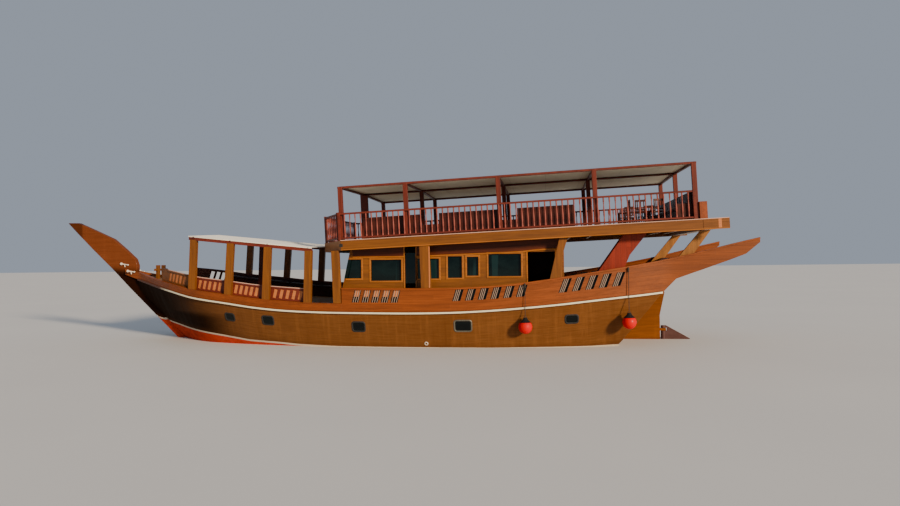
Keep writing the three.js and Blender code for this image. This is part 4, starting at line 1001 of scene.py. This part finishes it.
class DHOW_OT_strakes(bpy.types.Operator):
    """Rub rails, bulwarks with louvred slots, quarter wings, stern board and main deck"""
    bl_idname = "dhow.strakes"
    bl_label = "Bulwarks and deck"

    def execute(self, context):
        for side, s in SIDES:
            dress(f"rub_rail_{side}", "rail", sheer_grain, edge=0.02)
            dress(f"fore_bulwark_{side}", "bulwark", sheer_grain)
            dress(f"aft_bulwark_{side}", "bulwark", sheer_grain)
            self.louvres(side, s)
        dress("main_deck", "deck", deck_grain, edge=0)
        dress("stern_board", "bulwark", athwart_grain)
        dress("stern_beam", "timber", athwart_grain)
        dress("bow_bitts", "gold", upright_grain, edge=0.015)
        self.bow_fittings()
        return {"FINISHED"}

    @staticmethod
    def louvres(side, s):
        bars, backs, linings, boards = [], [], [], []
        bar_half, lining_half = 0.036, 0.02
        for group in SLOT_GROUPS:
            first, pitch, count = group[:3]
            boarded = first > 0
            for centre in (first - i * pitch for i in range(count)):
                backs.append(slot_bar(s, group, centre, (-0.62, 0.62), (0.085, 0.095), 1.08))
                bars.extend(
                    slot_bar(s, group, centre, (t - bar_half, t + bar_half), (0.012, 0.034))
                    for t in (BARS_BOARDED if boarded else BARS_OPEN))
                linings.extend(slot_bar(s, group, centre, (t - lining_half, t + lining_half),
                                        (-0.004, 0.09)) for t in (-0.5, 0.5))
                if boarded:
                    boards.append(half_board(s, group, centre))
        # the black backs and linings are painted shade: the dark inside of the open slots and
        # their shaded sides
        fitted(f"slot_shade_backs_{side}", backs, "black")
        fitted(f"slot_shade_linings_{side}", linings, "black", edge=0.002)
        fitted(f"slot_bars_{side}", bars, "louvre", edge=0.003)
        fitted(f"slot_boards_{side}", boards, "peach", sheer_grain)

    @staticmethod
    def bow_fittings():
        parts = []
        for _, s in SIDES:
            for x, y, z, long, turn in CLEATS:
                here = Matrix.Translation((x, s * y, z)) @ Matrix.Rotation(s * turn, 4, "Z")
                here = here @ Matrix.Rotation(math.pi / 2 - 0.15, 4, "Y")
                end = long / 2
                reel = ((-end, 0.02), (-end + 0.01, 0.038), (-end + 0.04, 0.040),
                        (-end + 0.06, 0.026), (0, 0.024), (end - 0.09, 0.028),
                        (end - 0.07, 0.058), (end - 0.01, 0.058), (end, 0.02))
                parts.append(turned(reel, 18, here))
                parts.append(tube([(x, s * y, z), (x, s * (y - 0.03), z - 0.12)], 0.022, 10))
        fitted("bow_cleats", parts, "white", smooth=True)


def first_bay(middle, _):
    """Whether a face is in the foremost bay of the rail, which is painted lighter on the port side
    as if sunlit, and darker on the starboard side.
    """
    return middle.x > FIRST_BAY_FROM


class DHOW_OT_fore_awning(bpy.types.Operator):
    """Posts, rafters, cloth, rails and benches of the fore deck"""
    bl_idname = "dhow.fore_awning"
    bl_label = "Fore awning"

    def execute(self, context):
        beam = ((0.055, -0.01), (0.048, -0.01), (0.048, 0.135), (0.055, 0.135))
        for side, s in SIDES:
            posts = dress(f"awning_posts_{side}", "gold", upright_grain, edge=0.015)
            repaint(posts, "mahogany", lambda middle, _: middle.z > head_z(middle.x) - 0.02)
            rail = dress(f"fore_rail_{side}", "red_rail", sheer_grain, edge=0.006)
            repaint(rail, FIRST_BAY[side], first_bay)
            self.rail_dress(side, s)
            dress(f"fore_bench_{side}", "bench_wood", sheer_grain, edge=0.02)
            self.seat_pads(side, s)
            fitted(f"awning_edge_{side}", [strip(steps(7.52, 1.88), head_z, beam, s)], "red_rail",
                   sheer_grain)
        dress("awning_rafters", "mahogany_dark", athwart_grain)
        self.cloth(context.scene.dhow_sizes.awning_sag)
        stay = [(2.0, 0, 4.10), (1.4, 0, 4.16), (0.95, 0, 4.21)]
        fitted("awning_stay", [tube(stay, 0.022)], "rope", smooth=True)
        return {"FINISHED"}

    @staticmethod
    def seat_pads(side, s):
        deep, thick, inset, seat_height, gap = 0.36, 0.08, 0.187, 0.432, 0.03
        for i, (aft, fore) in enumerate(zip(FORE_SEATS, FORE_SEATS[1:])):
            middle = (aft + fore) / 2
            piece = cushion_mesh(f"fore_seat_pad_{side}_{i + 1}", (fore - aft - gap, deep, thick))
            for vertex in piece.data.vertices:
                x = middle + vertex.co.x
                vertex.co = (x, s * (np.interp(x, SEAT_X, SEAT_Y) + inset) + vertex.co.y,
                             np.interp(x, SEAT_X, SEAT_Z) + seat_height + thick / 2 + vertex.co.z)
            place(piece, "leather", grain=sheer_grain)

    @staticmethod
    def rail_dress(side, s):
        parts = {name: [] for name in FORE_RAIL_PARTS}
        for fore, aft in FORE_BAYS:
            xs = steps(fore - 0.02, aft + 0.02, 0.25)
            for name, (_, _, _, sections) in FORE_RAIL_PARTS.items():
                if name != "slot_boards" or s > 0 or fore < STARBOARD_BOARDS_FROM:
                    parts[name].extend(strip(xs, fore_top, square(*section), s)
                                       for section in sections)
        for name, (look, slot, edge, _) in FORE_RAIL_PARTS.items():
            made = fitted(f"fore_{name}_{side}", parts[name], look, sheer_grain, edge=edge)
            if name == "rail_mouldings":
                repaint(made, FIRST_BAY[side], first_bay)

    @staticmethod
    def cloth(sag):
        turn = HEM_TURN
        xs = np.linspace(AWNING_X[0], AWNING_X[-1], 70)
        ys = [-1 - turn, -1 - turn / 2, *np.linspace(-1, 1, 57), 1 + turn / 2, 1 + turn]
        canvas = sheet_mesh("awning_canvas", xs, ys, lambda x, y: awning_z(x, y, sag),
                            awning_half)
        place(canvas, "awning", ["awning_cloth"], grain=deck_grain)


class DHOW_OT_deckhouse(bpy.types.Operator):
    """Walls, window frames, doors and glass of the deckhouse"""
    bl_idname = "dhow.deckhouse"
    bl_label = "Deckhouse"

    def execute(self, context):
        for side, s in SIDES:
            dress(f"deckhouse_wall_{side}", "gold_boards", sheer_grain)
            dress(f"side_glass_{side}", "glass", edge=0.002)
            dress(f"aft_door_{side}", "mahogany", upright_grain,
                  body=f"aft_door_{side}", edge=0.004)
            self.side_windows(side, s)
            self.side_mouldings(side, s)
            self.door_dress(side, s)
        dress("deckhouse_front", "gold_boards", athwart_grain)
        dress("front_glass", "glass", edge=0.002)
        dress("deckhouse_aft", "gold_boards", athwart_grain)
        self.front_dress()
        return {"FINISHED"}

    @staticmethod
    def side_windows(side, s):
        frames = [bar for pane in WINDOWS[1:] for bar in window_frame(s, *pane)]
        fore, aft, low, high = WINDOWS[0]
        frames += window_frame(s, house_front(high) - 0.10, aft, low, high)[1:3]
        frames += window_frame(s, fore - 0.02, aft, low, high)[:1]
        corner = [(house_front(z) - back, s * y, z) for y in (HOUSE_Y, HOUSE_Y + 0.010)
                  for z in (low + 0.02, high - 0.01) for back in (0.13, 0.0)]
        fitted(f"corner_glass_{side}", [(corner, BOX_FACES)], "glass")
        for fore, aft, low, high in DOORWAYS if s > 0 else DOORWAYS[:1]:
            frames += [side_block(s, (x, x + FRAME_WIDTH), FRAME_DEEP, (low, high))
                       for x in (fore, aft - FRAME_WIDTH)]
        fitted(f"window_frames_{side}", frames, "gold_light", edge=0.008)

    @staticmethod
    def side_mouldings(side, s):
        strips, shadow_headers = [], []
        (door_fore, door_aft, _, _), _ = DOORWAYS
        for fore, aft in ((0.36, door_fore), (door_aft, -7.85)):
            xs = steps(fore, aft, 0.4)
            # painted shadow: the boards between the moulding and the upper deck are dark as the
            # upper deck's shadow on the wall
            shadow_headers.append(loft(xs, lambda x: [
                (HOUSE_Y, moulding_z(x)), (HOUSE_Y + 0.012, moulding_z(x)),
                (HOUSE_Y + 0.012, soffit_z(x)), (HOUSE_Y, soffit_z(x))], s))
            strips.append(loft(xs, lambda x: [
                (HOUSE_Y + out, moulding_z(x) + up) for out, up in MOULDING_FORM], s))
        fitted(f"wall_moulding_{side}", strips, "gold_light", sheer_grain)
        fitted(f"header_shadow_boards_{side}", shadow_headers, "shade_boards", sheer_grain)

    @staticmethod
    def front_dress():
        lean = Matrix.Translation((HOUSE_FOOT[0], 0, HOUSE_FOOT[1])) @ Matrix.Rotation(
            -math.atan(HOUSE_LEAN), 4, "Y")
        frames = [block((-0.02, y0, z0), (0.024, y1, z1), lean)
                  for low, high in FRONT_LIGHTS for y0, y1, z0, z1 in (
                      (low - 0.05, high + 0.05, -0.14, -0.09),
                      (low - 0.05, high + 0.05, 0.93, 0.98),
                      (low - 0.05, low, -0.09, 0.93), (high, high + 0.05, -0.09, 0.93))]
        fitted("front_window_frames", frames, "gold_light", athwart_grain,
               edge=0.006)

    @staticmethod
    def door_dress(side, s):
        body, low = f"aft_door_{side}", rail_z(-7.9) + 0.2
        pane_x, bead_x, knob_x = (-7.872, -7.862), (-7.905, -7.845), -7.895
        pane = side_block(s, pane_x, (0.15, 0.61), (low + 1.01, low + 1.79))
        fitted(f"aft_door_pane_{side}", [pane], "glass", body=body)
        beads = [side_block(s, bead_x, (y0, y1), (low + z0, low + z1))
                 for bottom, top in ((1.0, 1.80), (0.22, 0.82)) for y0, y1, z0, z1 in (
                     (0.14, 0.62, bottom, bottom + 0.02), (0.14, 0.62, top - 0.02, top),
                     (0.14, 0.16, bottom + 0.02, top - 0.02),
                     (0.60, 0.62, bottom + 0.02, top - 0.02))]
        fitted(f"aft_door_beads_{side}", beads, "gold_light", upright_grain,
               body=body, edge=0.004)
        here = Matrix.Translation((knob_x, s * 0.07, low + 0.95))
        knob = turned(KNOB_FORM, 16, here @ Matrix.Rotation(-math.pi / 2, 4, "Y"))
        fitted(f"aft_door_knob_{side}", [knob], "bronze", body=body, smooth=True)


class DHOW_OT_upper_deck(bpy.types.Operator):
    """Upper deck with its fascia mouldings, what carries it, and the stair"""
    bl_idname = "dhow.upper_deck"
    bl_label = "Upper deck"

    def execute(self, context):
        deck = dress("upper_deck", "gold", upper_grain, edge=0.012)
        down, level = UPPER.to_3x3() @ Vector((0, 0, -1)), 0.9
        repaint(deck, "deck_upper", lambda _, normal: normal.dot(down) < -level)
        repaint(deck, "soffit", lambda _, normal: normal.dot(down) > level)
        # painted light: the deck's forward-facing front gets the pale moulding wood so that it
        # looks sunlit
        repaint(deck, "gold_light", lambda middle, normal: normal.x > 0.5 and middle.x > 0.1)
        for side, s in SIDES:
            # the aft quarter pillars are painted paler as sunlit, while the fore ones stay in the
            # darker golden timber, as in the upper deck's shadow
            for node, look in (("side_post_fore", "gold"), ("side_post_aft", "gold"),
                               ("quarter_pillar_fore", "gold"), ("quarter_pillar_aft", "pillar")):
                dress(f"{node}_{side}", look, upright_grain, edge=0.012)
            self.fascia_dress(side, s)
        dress("stair", "stair", upright_grain)
        dress("aft_board", "aft_board", athwart_grain)
        return {"FINISHED"}

    @staticmethod
    def fascia_dress(side, s):
        for name, look, xs, zs, proud, edge in FASCIA:
            bar = side_block(s, xs, (FASCIA_Y - 0.005, FASCIA_Y + proud), zs, UPPER)
            fitted(f"fascia_{name}_{side}", [bar], look, upper_grain, edge=edge)
        beam = side_block(s, (-0.08, 0.05), (3.70, 3.775), (-0.25, -0.13), UPPER)
        fitted(f"beam_end_{side}", [beam], "iron", edge=0.008)
        out = breadth(-2.7)
        cover = side_block(s, (-2.84, -2.80), (out - 0.002, out + 0.012), (2.33, 3.9))
        fitted(f"post_cover_strip_{side}", [cover], "peach", upright_grain,
               edge=0.003)


def fence_lines(points, pitch):
    """Middles of the balusters along a run of rails, and the places of its newels."""
    newels = [Vector(p) for p in points]
    balusters = []
    for a, b in zip(newels, newels[1:]):
        count = max(1, round((b - a).length / pitch))
        balusters.extend(a.lerp(b, k / count) for k in range(1, count))
    return balusters, newels


def rail_bar(a, b, width, low, high):
    """A straight rail from a to b in the plane of the upper deck."""
    a, b = Vector((*a, 0)), Vector((*b, 0))
    along = (b - a).normalized()
    side = Vector((-along.y, along.x, 0)) * width / 2
    crown = 0.3 * width / 2 / side.length
    section = ((-1, low), (-1, high - 0.012), (-crown, high), (crown, high), (1, high - 0.012),
               (1, low))
    return [UPPER @ (end + k * side + Vector((0, 0, z))) for end in (a, b)
            for k, z in section], ring_faces(2, len(section), False)


class DHOW_OT_balustrades(bpy.types.Operator):
    """Turned balusters, rails and newels of the upper deck"""
    bl_idname = "dhow.balustrades"
    bl_label = "Balustrades"

    def execute(self, context):
        pitch = context.scene.dhow_sizes.baluster
        runs = {side: ((0.03, s * UPPER_RAIL_Y), (UPPER_RAIL_AFT, s * UPPER_RAIL_Y))
                for side, s in SIDES}
        runs["front"] = FRONT_RAIL
        for name, points in runs.items():
            balusters, newels = fence_lines(points, pitch)
            turned_parts = [turned(BALUSTER_FORM, 10, UPPER @ Matrix.Translation((*p, 0)))
                            for p in balusters]
            fitted(f"balusters_{name}", turned_parts, "baluster", upright_grain,
                   smooth=True)
            rails = [rail_bar(a, b, *bar) for a, b in zip(points, points[1:])
                     for bar in (TOP_RAIL, FOOT_RAIL)]
            for form, places in ((NEWEL, newels), (NEWEL_CAP, newels), (FOOT, balusters[5::6])):
                rails += [deck_post(p, *form) for p in places]
            fitted(f"rails_{name}", rails, "mahogany", upper_grain, edge=0.006,
                   nodes=[f"upper_rail_{name}"])
        return {"FINISHED"}


class DHOW_OT_canopy(bpy.types.Operator):
    """Canopy frame and cloth over the upper deck"""
    bl_idname = "dhow.canopy"
    bl_label = "Canopy"

    def execute(self, context):
        for node in ("canopy_posts_port", "canopy_posts_starboard", "canopy_frame"):
            dress(node, "mahogany", upright_grain, edge=0.01)
        self.cloth(context.scene.dhow_sizes.canopy_sag)
        return {"FINISHED"}

    @staticmethod
    def cloth(sag):
        xs, ys = np.linspace(CANOPY_X[0], CANOPY_X[-1], 136), np.linspace(-1, 1, 61)
        canvas = sheet_mesh("canopy_canvas", xs, ys, lambda x, y: canopy_z(x, y, sag),
                            lambda x: CANOPY_HALF)
        canvas.data.transform(UPPER)
        place(canvas, "canopy", ["canopy_cloth"], grain=deck_grain)


def box_grid(made, cuts):
    """Adds the faces of a box from -1 to 1, cut into a grid on each side."""
    spots = {}
    for a, b, c in ((0, 1, 2), (0, 2, 1), (1, 2, 0)):
        for p, q, end in itertools.product(range(cuts[a]), range(cuts[b]), (0, cuts[c])):
            corners = []
            for step_a, step_b in ((0, 0), (1, 0), (1, 1), (0, 1)):
                at = {a: p + step_a, b: q + step_b, c: end}
                key = (at[0], at[1], at[2])
                if key not in spots:
                    spots[key] = made.verts.new([2 * n / m - 1 for n, m in zip(key, cuts)])
                corners.append(spots[key])
            made.faces.new(corners)


def cushion_mesh(name, size, channels=1):
    """A closed pad: crowned on top, pulled in between its corners, sewn across in channels."""
    made = bmesh.new()
    box_grid(made, PAD_CUTS)
    bmesh.ops.recalc_face_normals(made, faces=made.faces)
    long, deep, thick = (d / 2 for d in size)
    for vertex in made.verts:
        u, v, w = vertex.co
        full = (1 - abs(u) ** 6) * (1 - abs(v) ** 4)
        channel = abs(math.cos(math.pi * channels * (u + 1) / 2)) ** 14 if channels > 1 else 0.0
        swell = PAD_SWELL * (1 - w * w)
        z = w * thick * (PAD_RIM + (1 - PAD_RIM) * min(1.0, full * 6))
        if w > 0:
            z += w * (PAD_CROWN * full ** 0.5 - PAD_CHANNEL * channel * full)
        vertex.co = (u * (long - PAD_WAIST[0] * (1 - v * v) * abs(u) ** 3 + swell),
                     v * (deep - PAD_WAIST[1] * (1 - u * u) * abs(v) ** 3 + swell), z)
    mesh = bpy.data.meshes.new(name)
    write_back(made, mesh)
    piece = add_object(name, mesh)
    subdivide = piece.modifiers.new("soft", "SUBSURF")
    subdivide.levels = subdivide.render_levels = 1
    mesh.shade_smooth()
    return piece


def pad(name, size, at, turn=Matrix()):
    """A seat or back pad on the upper deck, sewn in four channels."""
    piece = cushion_mesh(name, size, channels=4)
    piece.data.transform(UPPER @ Matrix.Translation(at) @ turn)
    place(piece, "leather", grain=deck_grain)


class DHOW_OT_furniture(bpy.types.Operator):
    """Benches with their pads, the table and the chairs of the upper deck"""
    bl_idname = "dhow.furniture"
    bl_label = "Furniture"

    def execute(self, context):
        for side, s in SIDES:
            dress(f"bench_{side}", "bench_wood", upper_grain, edge=0.01)
            lean = Matrix.Rotation(s * math.pi / 2, 4, "X")
            for i, (fore, aft) in enumerate(BENCH_BACKS):
                middle, long = (fore + aft) / 2, fore - aft - 0.04
                pad(f"seat_pad_{side}_{i + 1}", (long, 0.385, 0.09), (middle, s * 3.092, 0.477))
                pad(f"back_pad_{side}_{i + 1}", (long, 0.33, 0.075), (middle, s * 3.245, 0.665),
                    lean)
        dress("upper_table", "mahogany", upper_grain, edge=0.01)
        self.aft_bench()
        self.chairs()
        return {"FINISHED"}

    @staticmethod
    def aft_bench():
        boards = [block(low, high, UPPER) for low, high in AFT_BENCH]
        fitted("aft_bench", boards, "bench_wood", upper_grain, edge=0.008)
        athwart = Matrix.Rotation(math.pi / 2, 4, "Z")
        upright = Matrix(((0, 0, 1, 0), (1, 0, 0, 0), (0, 1, 0, 0), (0, 0, 0, 1)))
        for i, y in enumerate((-2.3, 0.0, 2.3)):
            pad(f"seat_pad_aft_{i + 1}", (2.24, 0.46, 0.09), (-12.91, y, 0.488), athwart)
            pad(f"back_pad_aft_{i + 1}", (2.24, 0.46, 0.07), (-13.172, y, 0.79), upright)

    @staticmethod
    def chairs():
        parts = []
        for x, y, turn in CHAIRS:
            here = UPPER @ Matrix.Translation((x, y, 0)) @ Matrix.Rotation(
                math.radians(turn), 4, "Z")
            for leg_x in (-0.19, 0.19):
                for leg_y, top in ((-0.2, 0.44), (0.2, 0.92)):
                    parts.append(block((leg_x - 0.02, leg_y - 0.02, 0.001),
                                       (leg_x + 0.02, leg_y + 0.02, top), here))
            parts.extend(block(low, high, here) for low, high in CHAIR_BOARDS)
            parts.extend(block((k - 0.02, 0.192, 0.56), (k + 0.02, 0.208, 0.85), here)
                         for k in (-0.12, 0.0, 0.12))
        fitted("chairs", parts, "bench_wood", upper_grain, edge=0.006)


class DHOW_OT_fenders(bpy.types.Operator):
    """Red fenders that hang on the port side"""
    bl_idname = "dhow.fenders"
    bl_label = "Fenders"

    def execute(self, context):
        for name in ("fore", "aft"):
            self.fender(name, node_points(f"fender_{name}"))
        return {"FINISHED"}

    @staticmethod
    def fender(name, co):
        radius, neck, neck_from, rows = 0.26, 0.085, 0.9, 28
        ball = co[co[:, 2] < co[:, 2].min() + 2 * radius]
        x, y = ((ball[:, i].min() + ball[:, i].max()) / 2 for i in (0, 1))
        z = co[:, 2].min() + radius
        here = Matrix.Translation((x, y, z))
        skin = []
        for i in range(rows + 1):
            a = math.pi * i / rows - math.pi / 2
            across = max(radius * math.cos(a), neck if a > neck_from else 0.004)
            skin.append((radius * math.sin(a), across))
        fitted(f"fender_{name}_ball", [turned(skin, 40, here)], "fender",
               smooth=True, nodes=[f"fender_{name}"])
        fitted(f"fender_{name}_cap", [turned(COLLAR_FORM, 32, here)], "cap_rubber",
               smooth=True)
        head = co[co[:, 2] > co[:, 2].max() - 0.03]
        top = Vector((x, float(head[:, 1].mean()), float(co[:, 2].max())))
        low = Vector((x, y, z + 0.33))
        loop = [low + Vector((0.045 * math.sin(a), 0, 0.03 - 0.045 * math.cos(a)))
                for a in np.linspace(0, 2 * math.pi, 17)]
        line = [low + Vector((0, 0, 0.075)), *(low.lerp(top, t) for t in (0.3, 0.5, 0.8)), top]
        knot = turned(KNOT_FORM, 14, Matrix.Translation(top + Vector((0, 0.012, 0))))
        fitted(f"fender_{name}_rope", [tube(loop, 0.010), tube(line, 0.011), knot], "rope",
               smooth=True)


class DHOW_PT_panel(bpy.types.Panel):
    """Lists the steps that build the boat"""
    bl_idname = "DHOW_PT_panel"
    bl_label = "Motor dhow"
    bl_space_type = "VIEW_3D"
    bl_region_type = "UI"
    bl_category = "Dhow"

    def draw(self, context):
        for step in STEPS:
            self.layout.operator(step.bl_idname)


STEPS = (DHOW_OT_stage, DHOW_OT_hull, DHOW_OT_strakes, DHOW_OT_fore_awning, DHOW_OT_deckhouse,
         DHOW_OT_upper_deck, DHOW_OT_balustrades, DHOW_OT_canopy, DHOW_OT_furniture,
         DHOW_OT_fenders)
CLASSES = (DhowColours, DhowSizes, *STEPS, DHOW_PT_panel)


def register():
    for made in CLASSES:
        bpy.utils.register_class(made)
    bpy.types.Scene.dhow_colours = bpy.props.PointerProperty(type=DhowColours)
    bpy.types.Scene.dhow_sizes = bpy.props.PointerProperty(type=DhowSizes)


def unregister():
    del bpy.types.Scene.dhow_colours
    del bpy.types.Scene.dhow_sizes
    for made in reversed(CLASSES):
        bpy.utils.unregister_class(made)


def main():
    register()
    scene = bpy.context.scene
    make_looks(scene.dhow_colours, scene.dhow_sizes)
    for step in STEPS:
        group, name = step.bl_idname.split(".")
        getattr(getattr(bpy.ops, group), name)()


if __name__ == "__main__":
    main()
